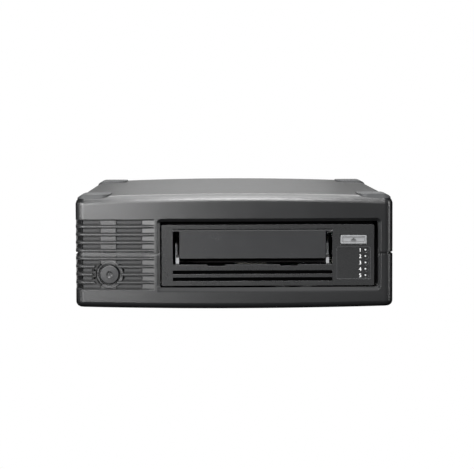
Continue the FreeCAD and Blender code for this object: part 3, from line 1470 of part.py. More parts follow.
BRACKET_SCREW_Z = f"({BRACKET_BOSS_TOP} + bracket_thickness + bracket_height - bracket_screw_drop)"
drive_bracket("left")
drive_bracket("right")


# ---------------------------------------------------------------- rear panel
FAN_SPOTS = [
    (f"(fan_x + {a}fan_screw_pitch/2)", f"({FAN_Z} + {b}fan_screw_pitch/2)")
    for a in ("-", "") for b in ("-", "")
]
SOCKETS = [f"(foot_lift + socket_rise + {index}*socket_pitch)" for index in (0, 1)]
PROUD = f"({PANEL_BACK} + inlet_flange)"


def rear_panel():
    """Steel panel held in the groove of both case halves, with its cut-outs."""
    slab = block("panel_slab", (f"-{HALF}", HALF), (PANEL_FRONT, PANEL_BACK), ("0", f"{TOP} + 1"))
    blank = overlap("panel_blank", case_middle, slab)
    through = (f"{PANEL_FRONT} - 1", f"{PANEL_BACK} + 1")
    tools = [
        block("inlet_window", spread(INLET_X, "inlet_width/2"), through, spread(INLET_Z, "inlet_height/2")),
        rod("fan_window", "Y", ("fan_x", FAN_Z), "fan_bore", through),
    ]
    for index, z in enumerate(SOCKETS):
        tools.append(block(
            f"socket_window_{index}", spread(SOCKET_X, "socket_width/2"), through,
            spread(z, "socket_height/2")))
    for index, spot in enumerate(FAN_SPOTS):
        tools.append(rod(f"panel_drill_{index}", "Y", spot, "screw_radius", through))
    return cut("rear_panel", blank, group("panel_tools", tools))


def mains_inlet():
    """Appliance inlet: flange, hollow body open to the rear and three flat pins."""
    inlet = Body("inlet_body")
    x = spread(INLET_X, "inlet_width/2")
    z = spread(INLET_Z, "inlet_height/2")
    inner_end = f"({PANEL_BACK} - inlet_length)"
    inlet.pad("XZ", [oblong(x, z)], (inner_end, PROUD))
    inlet.pad("XZ", [oblong(
        spread(INLET_X, "inlet_flange_width/2"), spread(INLET_Z, "inlet_flange_height/2"))],
        (PANEL_BACK, PROUD))
    left, right = (f"{x[0]} + inlet_wall", f"{x[1]} - inlet_wall")
    low, high = (f"{z[0]} + inlet_wall", f"{z[1]} - inlet_wall")
    inlet.pocket("XZ", [loop(
        (left, low), (right, low), (right, f"{high} - 4"), (f"{right} - 4", high),
        (f"{left} + 4", high), (left, f"{high} - 4"),
    )], (f"{PROUD} - inlet_cavity_depth", f"{PROUD} + 1"))
    pins = [inlet.body]
    for index, (dx, dz) in enumerate((("-7", "-2"), ("0", "2"), ("7", "-2"))):
        pins.append(block(
            f"inlet_pin_{index}", spread(f"({INLET_X} + {dx})", "1"),
            (f"{PROUD} - inlet_cavity_depth - 0.5", f"{PROUD} - 3"), spread(f"({INLET_Z} + {dz})", "2")))
    return join("mains_inlet", pins)


def data_socket(index, z):
    """Shielded data socket with a contact tongue."""
    socket = Body(f"socket_body_{index}")
    front = f"({PANEL_BACK} - socket_length)"
    back = f"({PANEL_BACK} + socket_proud)"
    shell = oblong(spread(SOCKET_X, "socket_width/2"), spread(z, "socket_height/2"))
    socket.pad("XZ", [shell], (front, back))
    socket.pocket("XZ", [oblong(
        spread(SOCKET_X, "(socket_width/2 - socket_wall)"), spread(z, "(socket_height/2 - socket_wall)"))],
        (f"{back} - socket_cavity", f"{back} + 1"))
    tongue = block(
        f"socket_tongue_{index}", spread(SOCKET_X, "(socket_width/2 - 5)"),
        (f"{back} - socket_cavity - 0.5", f"{back} - 3"),
        (f"{z} - socket_height/2 + socket_wall", f"{z} - 1.8"))
    return join(f"data_socket_{index + 1}", [socket.body, tongue])


rear_panel()
mains_inlet()
for index, z in enumerate(SOCKETS):
    data_socket(index, z)


# ---------------------------------------------------------------- cooling fan
FAN_FRONT = f"({PANEL_FRONT} - fan_depth)"


def fan_frame():
    """Square housing with a round throat, struts to the motor seat and screw holes."""
    x = spread("fan_x", "fan_size/2")
    z = spread(FAN_Z, "fan_size/2")
    frame = Body("fan_housing")
    frame.pad("XZ", [oblong(x, z)], (FAN_FRONT, PANEL_FRONT))
    frame.dress("Fillet", "3", along("Y"))
    through = (f"{FAN_FRONT} - 1", f"{PANEL_FRONT} + 1")
    frame.pocket("XZ", [disc("fan_x", FAN_Z, "fan_bore")], through)
    frame.pocket("XZ", [disc(*spot, "screw_radius") for spot in FAN_SPOTS], through)
    strut_y = (FAN_FRONT, f"{FAN_FRONT} + 2")
    pieces = [
        frame.body,
        rod("motor_seat", "Y", ("fan_x", FAN_Z), "fan_hub", strut_y),
        block("strut_wide", x, strut_y, spread(FAN_Z, "fan_strut/2")),
        block("strut_tall", spread("fan_x", "fan_strut/2"), strut_y, z),
        rod("fan_spindle", "Y", ("fan_x", FAN_Z), "1.5", (FAN_FRONT, f"{PANEL_FRONT} - 4")),
    ]
    return join("fan_frame", pieces)


def fan_rotor():
    """Hub with raked blades, built about its own axis."""
    rotor = Body("fan_rotor")
    length = "(fan_depth - 6)"
    rotor.pad("XZ", [disc("0", "0", "fan_hub"), disc("0", "0", "1.5 + running_fit")], ("0", length))
    tip = "(fan_bore - fan_tip_gap)"
    rake = f"({length}*0.62)"
    blade = rotor.pad("YZ", [loop(
        ("1", f"-{rake}/2"),
        ("1 + fan_blade*1.4", f"-{rake}/2"),
        (f"{length} - 1", f"{rake}/2"),
        (f"{length} - 1 - fan_blade*1.4", f"{rake}/2"),
    )], ("fan_hub - 2.2", f"sqrt({tip}^2 - ({rake}/2)^2)"))
    pattern = rotor.body.newObject("PartDesign::PolarPattern", "fan_blade_ring")
    pattern.Originals = [blade]
    axis = next(item for item in rotor.body.Origin.OriginFeatures if item.Role == "Y_Axis")
    pattern.Axis = (axis, [""])
    pattern.Angle = 360
    bind(pattern, Occurrences="fan_blades")
    rotor.body.Tip = pattern
    return place(rotor.body, "fan_x", f"{FAN_FRONT} + 2 + moving_gap", FAN_Z)


def fan_guard():
    """Stamped finger guard outside the panel: rings carried by two crossed arms."""
    wires = []
    for index in range(int(number("guard_rings"))):
        radius = f"(fan_bore - {index}*(fan_bore - 6)/guard_rings)"
        span = (PANEL_BACK, f"{PANEL_BACK} + 2*guard_wire")
        outer = rod(f"guard_disc_{index}", "Y", ("fan_x", FAN_Z), radius, span)
        inner = rod(f"guard_hole_{index}", "Y", ("fan_x", FAN_Z), f"{radius} - 2*guard_wire", span)
        wires.append(cut(f"guard_ring_{index}", outer, inner))
    reach = "fan_screw_pitch/2*1.4142"
    for index, angle in enumerate((45, 135)):
        arm = doc.addObject("Part::Box", f"guard_arm_{index}")
        turn = FreeCAD.Rotation(FreeCAD.Vector(0, 1, 0), angle)
        arm.Placement = FreeCAD.Placement(FreeCAD.Vector(), turn)
        bind(arm, Length=f"2*{reach} + 5", Width="guard_arm", Height="2*guard_arm")
        along_arm = turn.multVec(FreeCAD.Vector(1, 0, 0))
        across = turn.multVec(FreeCAD.Vector(0, 0, 1))
        half = f"({reach} + 2.5)"
        place(arm,
              f"fan_x - ({along_arm.x})*{half} - ({across.x})*guard_arm",
              PANEL_BACK,
              f"{FAN_Z} - ({along_arm.z})*{half} - ({across.z})*guard_arm")
        wires.append(arm)
    drill_y = (f"{PANEL_BACK} - 1", f"{PANEL_BACK} + 5")
    eye_y = (PANEL_BACK, f"{PANEL_BACK} + 2*guard_wire")
    drills = [
        rod(f"guard_drill_{index}", "Y", spot, "screw_radius", drill_y)
        for index, spot in enumerate(FAN_SPOTS)
    ]
    pads = [
        rod(f"guard_eye_{index}", "Y", spot, "screw_radius + 1.6", eye_y)
        for index, spot in enumerate(FAN_SPOTS)
    ]
    return cut("fan_guard", join("guard_wires", wires + pads), group("guard_drills", drills))


fan_frame()
fan_rotor()
fan_guard()


# ---------------------------------------------------------------- power supply


def psu_cage():
    """Folded steel cage, open at the top, with air holes through both long sides."""
    cage = Body("psu_cage")
    cage.pad("XY", [oblong(PSU_X, PSU_Y)], (FLOOR, PSU_TOP))
    cage.pocket("XY", [oblong(
        (f"{PSU_X[0]} + psu_wall", f"{PSU_X[1]} - psu_wall"),
        (f"{PSU_Y[0]} + psu_wall", f"{PSU_Y[1]} - psu_wall"),
    )], (f"{FLOOR} + psu_wall", f"{PSU_TOP} + 1"))
    hole = cage.pocket("YZ", [oblong(
        (f"{PSU_Y[0]} + 10", f"{PSU_Y[0]} + 14"), (f"{PSU_TOP} - 20", f"{PSU_TOP} - 6"))],
        (f"{PSU_X[0]} - 1", f"{PSU_X[1]} + 1"))
    cage.row(hole, "H_Axis", "9", "9")
    return cage.body


def psu_board():
    """Supply board on four posts, with transformer, capacitors and heat sink."""
    low = f"({FLOOR} + psu_wall + psu_board_lift)"
    top = f"({low} + board_thickness)"
    x = (f"{PSU_X[0]} + psu_wall + 1", f"{PSU_X[1]} - psu_wall - 1")
    y = (f"{PSU_Y[0]} + psu_wall + 1", f"{PSU_Y[1]} - psu_wall - 1")
    pieces = [block("supply_plate", x, y, (low, top))]
    for index, (px, py) in enumerate(((x[0], y[0]), (x[1], y[0]), (x[0], y[1]), (x[1], y[1]))):
        inward_x = "+ 3.5" if px == x[0] else "- 3.5"
        inward_y = "+ 3.5" if py == y[0] else "- 3.5"
        pieces.append(rod(f"supply_post_{index}", "Z", (f"{px} {inward_x}", f"{py} {inward_y}"), "2",
                          (f"{FLOOR} + psu_wall", low)))
    middle = f"({PSU_X[0]} + psu_width/2)"
    pieces.append(block(
        "transformer", spread(middle, "11"), spread(f"({PSU_Y[0]} + psu_depth/2)", "12"),
        (top, f"{top} + 24")))
    large = (f"{middle} - 4", f"{PSU_Y[1]} - 20")
    small = (f"{middle} + 9", f"{PSU_Y[1]} - 14")
    pieces.append(rod("capacitor_large", "Z", large, "8", (top, f"{top} + 28")))
    pieces.append(rod("capacitor_small", "Z", small, "4", (top, f"{top} + 16")))
    fins = []
    for index in range(4):
        near = f"{PSU_Y[0]} + 10 + {index}*4"
        fins.append(block(
            f"fin_{index}", spread(middle, "10"), (near, f"{near} + 1.6"), (f"{top} + 2", f"{top} + 22")))
    pieces.append(block(
        "fin_base", spread(middle, "10"), (f"{PSU_Y[0]} + 10", f"{PSU_Y[0]} + 23.6"), (top, f"{top} + 2")))
    return join("psu_board", pieces + fins)


psu_cage()
psu_board()


# ---------------------------------------------------------------- slot guides behind the bezel
def slot_guides():
    """Pair of pale guide corners at the mouth of the slot, one with an upright strip."""
    y = (BEZEL_INNER, f"{BEZEL_INNER} + 5")
    foot = f"{SLOT_BASE} - 3"
    shelf = f"{SLOT_BASE} - 0.2"
    near = "(door_side - 0.4)"
    far = "(door_side - 2.5)"
    top = f"{SLOT_BASE} + 6.4"
    left = block("guide_left_foot", (f"{SLOT_LEFT} + {far}", f"{SLOT_LEFT} + {near}"), y, (foot, top))
    left_base = block("guide_left_base", (f"{SLOT_LEFT} - 3", f"{SLOT_LEFT} + {near}"), y, (foot, shelf))
    right = block("guide_right_foot", (f"{SLOT_RIGHT} - {near}", f"{SLOT_RIGHT} - {far}"), y, (foot, top))
    right_base = block("guide_right_base", (f"{SLOT_RIGHT} - {near}", f"{SLOT_RIGHT} + 2"), y, (foot, shelf))
    return group("slot_guides", [
        join("guide_left", [left, left_base]),
        join("guide_right", [right, right_base]),
    ])


slot_guides()


# ---------------------------------------------------------------- cables held inside the case
def cable(name, radius, points):
    """Round cable along straight runs joined by tangent arcs."""
    spots = [FreeCAD.Vector(*(number(value) for value in point)) for point in points]
    edges = []
    start = spots[0]
    for before, corner, after in zip(spots, spots[1:], spots[2:]):
        inward = (corner - before)
        outward = (after - corner)
        turn = inward.getAngle(outward)
        bend = 0.45 * min(inward.Length, outward.Length) / math.tan(turn / 2)
        reach = bend * math.tan(turn / 2)
        entry = corner - inward.normalize() * reach
        leave = corner + outward.normalize() * reach
        bisector = (outward - inward).normalize()
        middle = corner + bisector * (bend / math.cos(turn / 2) - bend)
        edges.append(Part.LineSegment(start, entry).toShape())
        edges.append(Part.Arc(entry, middle, leave).toShape())
        print(f"{name}: bend radius {bend:.1f}")
        start = leave
    edges.append(Part.LineSegment(start, spots[-1]).toShape())
    path = Part.Wire(edges)
    section = Part.Circle(spots[0], spots[1] - spots[0], number(radius)).toShape()
    tube = path.makePipeShell([Part.Wire([section])], True, True)
    feature = doc.addObject("Part::Feature", name)
    feature.Shape = tube
    expected = 3.14159 * number(radius) ** 2 * path.Length
    assert abs(tube.Volume / expected - 1) < 0.02
    return feature


SUPPLY_SIDE = PSU_X[1]
cable("power_cable", "power_cable_radius", [
    (SUPPLY_SIDE, f"{PSU_Y[0]} + 62", f"{FLOOR} + 28"),
    (f"{SUPPLY_SIDE} + 14", f"{PSU_Y[0]} + 62", f"{FLOOR} + 28"),
    (f"{SUPPLY_SIDE} + 26", f"{PSU_Y[0]} + 60", f"{FLOOR} + 32"),
    (f"{SUPPLY_SIDE} + 35", f"{PSU_Y[0]} + 51", f"{FLOOR} + 34"),
    (f"{SUPPLY_SIDE} + 35", CHASSIS_BACK, f"{FLOOR} + 34"),
])
SOCKET_FRONT = f"({PANEL_BACK} - socket_length)"
group("data_cables", [
    cable(f"data_cable_{index + 1}", "data_cable_radius", [
        (SOCKET_X, SOCKET_FRONT, z),
        (SOCKET_X, f"{SOCKET_FRONT} - 14", z),
        (f"{SOCKET_X} + 4", f"{SOCKET_FRONT} - 30", f"{z} - 1"),
        (f"{SOCKET_X} + 8", f"{CHASSIS_BACK} + 15", entry),
        (f"{SOCKET_X} + 8", CHASSIS_BACK, entry),
    ])
    for index, (z, entry) in enumerate(zip(SOCKETS, (f"{CHASSIS_BASE} + 7", f"{CHASSIS_BASE} + 20")))
])
cable("switch_cable", "switch_cable_radius", [
    (POWER_X, f"{SWITCH_BACK} + board_thickness", f"{POWER_Z} + 4"),
    (POWER_X, f"{SWITCH_BACK} + 28", f"{POWER_Z} + 4"),
    (f"{POWER_X} - 6", f"{SWITCH_BACK} + 66", f"{POWER_Z} - 4"),
    (f"{POWER_X} + 4", f"{SWITCH_BACK} + 104", f"{POWER_Z} - 2"),
    (f"{POWER_X} + 4", PSU_Y[0], f"{POWER_Z} - 2"),
])


# ---------------------------------------------------------------- fasteners
def screw(name, axis, spot, seat, tip, outward):
    """Pan head screw: head on the seat, shank to the tip."""
    head_end = f"{seat} {outward} screw_head_height"
    shank = (seat, tip) if outward == "-" else (tip, seat)
    head = (head_end, seat) if outward == "-" else (seat, head_end)
    return join(name, [
        rod(f"{name}_shank", axis, spot, "screw_radius", shank),
        rod(f"{name}_head", axis, spot, "screw_head_radius - 0.3", head),
    ])


group("case_screws", [
    screw(f"case_screw_{corner}", "Z", spot, SCREW_SEAT, SCREW_TIP, "-") for corner, spot in CORNERS.items()
])
group("drive_screws", [
    screw(f"drive_screw_{side}_{index}", "X", (y, BRACKET_SCREW_Z), seat, tip, outward)
    for side, seat, tip, outward in (
        ("left", f"({CHASSIS_LEFT} - bracket_thickness)", CHASSIS_LEFT, "-"),
        ("right", f"({CHASSIS_RIGHT} + bracket_thickness)", CHASSIS_RIGHT, "+"),
    )
    for index, y in enumerate(BRACKET_SPOTS)
])
group("fan_screws", [
    screw(f"fan_screw_{index}", "Y", spot, f"({PANEL_BACK} + 2*guard_wire)", f"({FAN_FRONT} + 6)", "+")
    for index, spot in enumerate(FAN_SPOTS)
])


# ---------------------------------------------------------------- checks and export
NODES = [
    "upper_case", "lower_case", "vent_screen", "power_button", "power_switch",
    "drive_bezel", "door_flap", "door_pin", "door_spring", "slot_guides", "eject_button", "front_board",
    "drive_chassis", "drive_cover", "drive_board", "drive_bracket_left", "drive_bracket_right",
    "cartridge_tray", "loader_carriage", "loader_gear", "loader_pinion", "loader_motor",
    "chuck_motor", "reel_chuck", "take_up_motor", "take_up_reel", "roller_plate", "head_carriage",
    "rear_panel", "mains_inlet", "data_socket_1", "data_socket_2",
    "fan_frame", "fan_rotor", "fan_guard", "psu_cage", "psu_board",
    "power_cable", "data_cables", "switch_cable", "case_screws", "drive_screws", "fan_screws",
]
NODES += [f"{kind}_{corner}" for kind in ("top_pad", "foot") for corner in CORNERS]
NODES += [f"light_pipe_{index + 1}" for index in range(int(number("light_count")))]
NODES += [f"guide_roller_{index + 1}" for index in range(len(ROLLERS))]


def export_all():
    """Recompute, check every object and write one STEP file for each node."""
    doc.recompute()
    for item in doc.Objects:
        faults = {"Invalid", "Error"} & set(item.State)
        if faults:
            raise RuntimeError(f"{item.Name}: {faults}")
    for name in NODES:
        shape = doc.getObject(name).Shape
        if shape.isNull() or not shape.isValid() or not shape.Solids:
            raise RuntimeError(f"{name}: bad shape")
    for name in NODES:
        doc.getObject(name).Shape.exportStep(f"parts/{name}.step")
    print(f"{len(NODES)} parts written")


export_all()
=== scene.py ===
"""Looks of a desktop data tape drive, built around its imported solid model."""

import logging
import math
from dataclasses import dataclass, field
from enum import Enum
from typing import Any, Callable, Iterable

import bpy
from mathutils import Matrix, Vector


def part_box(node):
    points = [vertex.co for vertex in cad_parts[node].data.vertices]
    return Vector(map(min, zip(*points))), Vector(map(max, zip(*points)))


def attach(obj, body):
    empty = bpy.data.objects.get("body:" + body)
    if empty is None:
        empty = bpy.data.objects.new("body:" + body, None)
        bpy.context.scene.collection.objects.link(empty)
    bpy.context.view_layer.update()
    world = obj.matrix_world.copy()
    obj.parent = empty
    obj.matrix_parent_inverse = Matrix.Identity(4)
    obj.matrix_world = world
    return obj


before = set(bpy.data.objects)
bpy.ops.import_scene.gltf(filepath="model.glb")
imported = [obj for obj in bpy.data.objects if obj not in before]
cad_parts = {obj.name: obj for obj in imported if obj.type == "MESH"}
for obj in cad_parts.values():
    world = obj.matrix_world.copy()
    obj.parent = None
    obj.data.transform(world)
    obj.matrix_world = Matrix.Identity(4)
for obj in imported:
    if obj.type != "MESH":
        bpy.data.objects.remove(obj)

MM = 0.001
LOG = logging.getLogger("tape_drive")
Colour = tuple[float, float, float]
Point = tuple[float, float, float]
Span = tuple[float, float]
Value = Any

WHITE = (1.0, 1.0, 1.0)
UPRIGHT = (math.radians(90), 0.0, 0.0)
FACE_AIM = (0.0, -0.15, 0.04)
FRONT_ZONE = -130 * MM
GRILLE_PITCH = 5.57 * MM
GRILLE_LOWEST = 16.3 * MM
NOISE_LAYERS = 3.0
BROAD_GRAIN = 14 * MM
BROAD_FLICKER = 0.03
BEVEL_SAMPLES = 6
LIGHTS = 5


# ------------------------------------------------------------------ shader maths
class Wire:
    """A shader output that takes part in ordinary arithmetic."""

    def __init__(self, graph: "Graph", socket: bpy.types.NodeSocket | None) -> None:
        """Keep the graph that the output belongs to."""
        self.graph = graph
        self.socket = socket

    def maths(self, operation: str, first: Value, second: Value) -> "Wire":
        """Add one Math node.

        Args:
            operation: The node's operation.
            first: Its first value or wire.
            second: Its second value or wire.

        Returns:
            The node's result.
        """
        settings = {"operation": operation}
        return self.graph.node("ShaderNodeMath", settings, {0: first, 1: second})

    def alone(self, operation: str) -> "Wire":
        """Add one Math node that takes only this.

        Args:
            operation: The node's operation.

        Returns:
            The node's result.
        """
        return self.graph.node("ShaderNodeMath", {"operation": operation}, {0: self})

    def between(self, low: float, high: float) -> "Wire":
        """One inside a span, else nought.

        Args:
            low: The span's lower end.
            high: Its upper end.

        Returns:
            The mask.
        """
        return (self > low) * (self < high)

    def swing(self, size: float) -> "Wire":
        """This from 0 to 1, turned into a swing about nought.

        Args:
            size: The whole swing.

        Returns:
            The swing, from -size / 2 to size / 2.
        """
        return (self - 0.5) * size

    def __add__(self, other: Value) -> "Wire":
        """Sum."""
        return self.maths("ADD", self, other)

    def __sub__(self, other: Value) -> "Wire":
        """Difference."""
        return self.maths("SUBTRACT", self, other)

    def __rsub__(self, other: Value) -> "Wire":
        """Difference from a number."""
        return self.maths("SUBTRACT", other, self)

    def __mul__(self, other: Value) -> "Wire":
        """Product."""
        return self.maths("MULTIPLY", self, other)

    def __truediv__(self, other: Value) -> "Wire":
        """Quotient."""
        return self.maths("DIVIDE", self, other)

    def __gt__(self, other: Value) -> "Wire":
        """One where this is greater, else nought."""
        return self.maths("GREATER_THAN", self, other)

    def __lt__(self, other: Value) -> "Wire":
        """One where this is smaller, else nought."""
        return self.maths("LESS_THAN", self, other)

    __radd__ = __add__


class Graph:
    """Node tree of one material or of the world."""

    def __init__(self, tree: bpy.types.NodeTree) -> None:
        """Start from an empty tree."""
        self.tree = tree
        self.tree.nodes.clear()

    def node(self, kind: str, settings: dict[str, Any] | None = None,
             sockets: dict[Any, Value] | None = None, out: int | str = 0) -> Wire:
        """Add a node.

        Args:
            kind: The node's type.
            settings: Its own settings.
            sockets: Values or wires for its inputs, by name or number.
            out: The output wanted.

        Returns:
            That output.
        """
        made = self.tree.nodes.new(kind)
        for key, value in (settings or {}).items():
            setattr(made, key, value)
        for key, value in (sockets or {}).items():
            entry = made.inputs[key]
            if isinstance(value, Wire):
                self.tree.links.new(value.socket, entry)
            elif entry.type == "RGBA":
                entry.default_value = (*value, 1.0)
            else:
                entry.default_value = value
        return Wire(self, made.outputs[out] if made.outputs else None)

    def place(self) -> tuple[Wire, Wire, Wire, Wire]:
        """Object coordinates, whole and split.

        Returns:
            The vector and its X, Y and Z.
        """
        vector = self.node("ShaderNodeTexCoord", out="Object")
        split = self.node("ShaderNodeSeparateXYZ", sockets={0: vector}).socket.node
        return (vector, *(Wire(self, split.outputs[i]) for i in range(3)))

    def noise(self, vector: Wire, size: float) -> Wire:
        """Noise of one grain size.

        Args:
            vector: Where to read it.
            size: Grain size in metres.

        Returns:
            The noise, from 0 to 1.
        """
        sockets = {"Vector": vector, "Scale": 1.0 / size, "Detail": NOISE_LAYERS}
        return self.node("ShaderNodeTexNoise", sockets=sockets)

    def tint(self, amount: Value, low: Value, high: Value) -> Wire:
        """Mix two colours.

        Args:
            amount: How much of the second.
            low: First colour.
            high: Second colour.

        Returns:
            The mixed colour.
        """
        sockets = {0: amount, 6: low, 7: high}
        return self.node("ShaderNodeMix", {"data_type": "RGBA"}, sockets, out=2)

    def bump(self, height: Wire, depth: float, edge: float = 0.0) -> Wire:
        """Turn a height into a normal.

        Args:
            height: The height, from 0 to 1.
            depth: Its full depth in metres.
            edge: Radius that softens sharp edges, in metres.

        Returns:
            The normal.
        """
        sockets = {"Distance": depth, "Height": height}
        if edge:
            rounding = {"samples": BEVEL_SAMPLES}
            sockets["Normal"] = self.node("ShaderNodeBevel", rounding, {"Radius": edge})
        return self.node("ShaderNodeBump", sockets=sockets)

    def surface(self, **sockets: Value) -> None:
        """Finish with one Principled shader.

        Args:
            sockets: Its inputs; underscores stand for the spaces in their names.
        """
        inputs = {key.replace("_", " "): value for key, value in sockets.items()}
        shader = self.node("ShaderNodeBsdfPrincipled", sockets=inputs)
        self.node("ShaderNodeOutputMaterial", sockets={"Surface": shader})


def new_material(name: str) -> tuple[bpy.types.Material, Graph]:
    """A material with an empty node tree.

    Args:
        name: Its name.

    Returns:
        The material and its graph.
    """
    material = bpy.data.materials.new(name)
    material.use_nodes = True
    return material, Graph(material.node_tree)


def scaled(colour: Colour, factor: float, lift: float = 0.0) -> Colour:
    """A colour made lighter or darker.

    Args:
        colour: The colour.
        factor: What each channel is multiplied by.
        lift: What each channel then gains.

    Returns:
        The new colour.
    """
    return tuple(channel * factor + lift for channel in colour)


# ------------------------------------------------------------------ finishes
@dataclass(frozen=True)
class Moulding:
    """Spark-textured moulded plastic."""

    name: str
    colour: Colour
    roughness: float = 0.42
    grain: float = 0.45 * MM
    depth: float = 0.012 * MM
    edge: float = 0.0
    mottle: float = 0.12
    flicker: float = 0.05
    matt: Span | None = None
    matt_gain: float = 0.45

    def build(self) -> bpy.types.Material:
        """Make the material."""
        material, graph = new_material(self.name)
        vector, *axes = graph.place()
        fine = graph.noise(vector, self.grain)
        broad = graph.noise(vector, BROAD_GRAIN)
        dark = scaled(self.colour, 1.0 - self.mottle)
        light = scaled(self.colour, 1.0 + self.mottle)
        even = fine.swing(self.flicker) + broad.swing(BROAD_FLICKER) + self.roughness
        graph.surface(
            Base_Color=graph.tint((fine + broad) * 0.5, dark, light),
            Roughness=even + self.dulling(*axes),
            Normal=graph.bump(fine, self.depth, self.edge))
        return material

    def dulling(self, x: Wire, y: Wire, z: Wire) -> Value:
        """Roughness gained in the matt places.

        Args:
            x: Place across; not used.
            y: Place from front to back; not used.
            z: Height.

        Returns:
            The gain, which is nought outside the span of heights in matt.
        """
        return z.between(*self.matt) * self.matt_gain if self.matt else 0.0


@dataclass(frozen=True)
class CaseMoulding(Moulding):
    """Coarser case plastic, matt on the bay's sill and on the grille's lips."""

    roughness: float = 0.3
    grain: float = 0.9 * MM
    depth: float = 0.035 * MM
    edge: float = 0.35 * MM
    mottle: float = 0.2
    flicker: float = 0.06
    sill_width: Span = (-53.9 * MM, 100.7 * MM)
    sill_height: Span = (12.3 * MM, 15.6 * MM)
    sill_gain: float = 0.6
    grille_height: Span = (13 * MM, 64 * MM)
    grille_end: float = -56 * MM
    lip: Span = (1.4 * MM, 2.35 * MM)
    lip_gain: float = 0.65

    def dulling(self, x: Wire, y: Wire, z: Wire) -> Wire:
        """Roughness gained on the sill and on the lips of each row of vents.

        Args:
            x: Place across.
            y: Place from front to back.
            z: Height.

        Returns:
            The gain, which is nought behind the front.
        """
        sill = x.between(*self.sill_width) * z.between(*self.sill_height)
        row = ((z - GRILLE_LOWEST) / GRILLE_PITCH + 0.5).alone("FRACT")
        off = (row - 0.5).alone("ABSOLUTE") * GRILLE_PITCH
        grille = z.between(*self.grille_height) * (x < self.grille_end)
        lips = off.between(*self.lip) * grille
        return (sill * self.sill_gain + lips * self.lip_gain) * (y < FRONT_ZONE)


@dataclass(frozen=True)
class SheetSteel:
    """Plated or painted sheet with a rolled grain along one axis."""

    name: str
    colour: Colour
    roughness: float = 0.35
    metallic: float = 1.0
    spangle: float = 6 * MM
    grain: float = 0.5 * MM
    stretch: float = 0.03
    depth: float = 0.01 * MM
    streaks: float = 0.6
    shade: float = 0.82
    streak_gain: float = 0.12
    spangle_gain: float = 0.06

    def build(self) -> bpy.types.Material:
        """Make the material."""
        material, graph = new_material(self.name)
        vector = graph.place()[0]
        drawn = {"Vector": vector, "Scale": (1.0, self.stretch, 1.0)}
        streak = graph.noise(graph.node("ShaderNodeMapping", sockets=drawn), self.grain)
        cells = {"Vector": vector, "Scale": 1.0 / self.spangle}
        cell = graph.node("ShaderNodeTexVoronoi", sockets=cells, out="Color")
        tone = graph.node("ShaderNodeSeparateXYZ", sockets={0: cell})
        amount = streak * self.streaks + tone * (1.0 - self.streaks)
        graph.surface(
            Base_Color=graph.tint(amount, scaled(self.colour, self.shade), self.colour),
            Metallic=self.metallic,
            Roughness=self.roughness + streak * self.streak_gain + tone * self.spangle_gain,
            Normal=graph.bump(streak, self.depth))
        return material


@dataclass(frozen=True)
class SoftRubber:
    """Dull rubber or foam with a fine dusty bloom."""

    name: str
    colour: Colour
    roughness: float = 0.7
    gloss: float = 0.5
    bloom: float = 0.004
    grain: float = 0.6 * MM
    dust: float = 9 * MM
    depth: float = 0.02 * MM
    dusting: float = 1.3
    flicker: float = 0.1

    def build(self) -> bpy.types.Material:
        """Make the material."""
        material, graph = new_material(self.name)
        vector = graph.place()[0]
        fine = graph.noise(vector, self.grain)
        dust = graph.noise(vector, self.dust)
        dusty = scaled(self.colour, self.dusting, self.bloom)
        graph.surface(
            Base_Color=graph.tint(dust, self.colour, dusty),
            Roughness=fine.swing(self.flicker) + self.roughness,
            Specular_IOR_Level=self.gloss,
            Normal=graph.bump(fine, self.depth))
        return material


@dataclass(frozen=True)
class PunchedScreen:
    """Painted sheet with rows of fine punched holes, drawn in the material rather than cut,
    each hole coloured near-black as painted shade for the dark seen through it.
    """

    name: str
    colour: Colour
    pitch: float = 1.6 * MM
    hole: float = 0.3
    row_rise: float = 0.866
    # Colour of each drawn hole: painted shade for the dark seen through it.
    inside: Colour = (0.002, 0.002, 0.002)
    grain: float = 0.9 * MM
    speck: float = 1.8
    depth: float = 0.15 * MM
    metallic: float = 0.3
    roughness: float = 0.5
    flicker: float = 0.2

    def build(self) -> bpy.types.Material:
        """Make the material."""
        material, graph = new_material(self.name)
        vector, x, y, z = graph.place()
        up = z / (self.pitch * self.row_rise)
        along = (x - y) / self.pitch + up.alone("FLOOR") * 0.5
        across = along.alone("FRACT") - 0.5
        above = up.alone("FRACT") - 0.5
        # Mask of the drawn holes, which take the inside colour as painted shade.
        hole = across * across + above * above < self.hole ** 2
        speckle = graph.noise(vector, self.grain)
        paint = graph.tint(speckle, self.colour, scaled(self.colour, self.speck))
        graph.surface(
            Base_Color=graph.tint(hole, paint, self.inside),
            Metallic=self.metallic,
            Roughness=speckle.swing(self.flicker) + self.roughness,
            Normal=graph.bump(1.0 - hole, self.depth))
        return material


@dataclass(frozen=True)
class CircuitBoard:
    """Coated board with copper tracks."""

    name: str
    colour: Colour = (0.012, 0.11, 0.045)
    lane: float = 2.4 * MM
    slant: float = 0.02
    bend: float = 22 * MM
    weave: float = 3.0
    track: float = 0.32
    bare: float = 0.42
    copper: float = 1.9
    grain: float = 0.7 * MM
    roughness: float = 0.3
    flicker: float = 0.15
    depth: float = 0.035 * MM

    def build(self) -> bpy.types.Material:
        """Make the material."""
        material, graph = new_material(self.name)
        vector, x, y, _ = graph.place()
        bend = graph.noise(vector, self.bend)
        lanes = ((x + y * self.slant) / self.lane + bend * self.weave).alone("FRACT")
        track = (lanes < self.track) * (bend > self.bare)
        speckle = graph.noise(vector, self.grain)
        graph.surface(
            Base_Color=graph.tint(track, self.colour, scaled(self.colour, self.copper)),
            Roughness=self.roughness + speckle * self.flicker,
            Normal=graph.bump(track, self.depth))
        return material


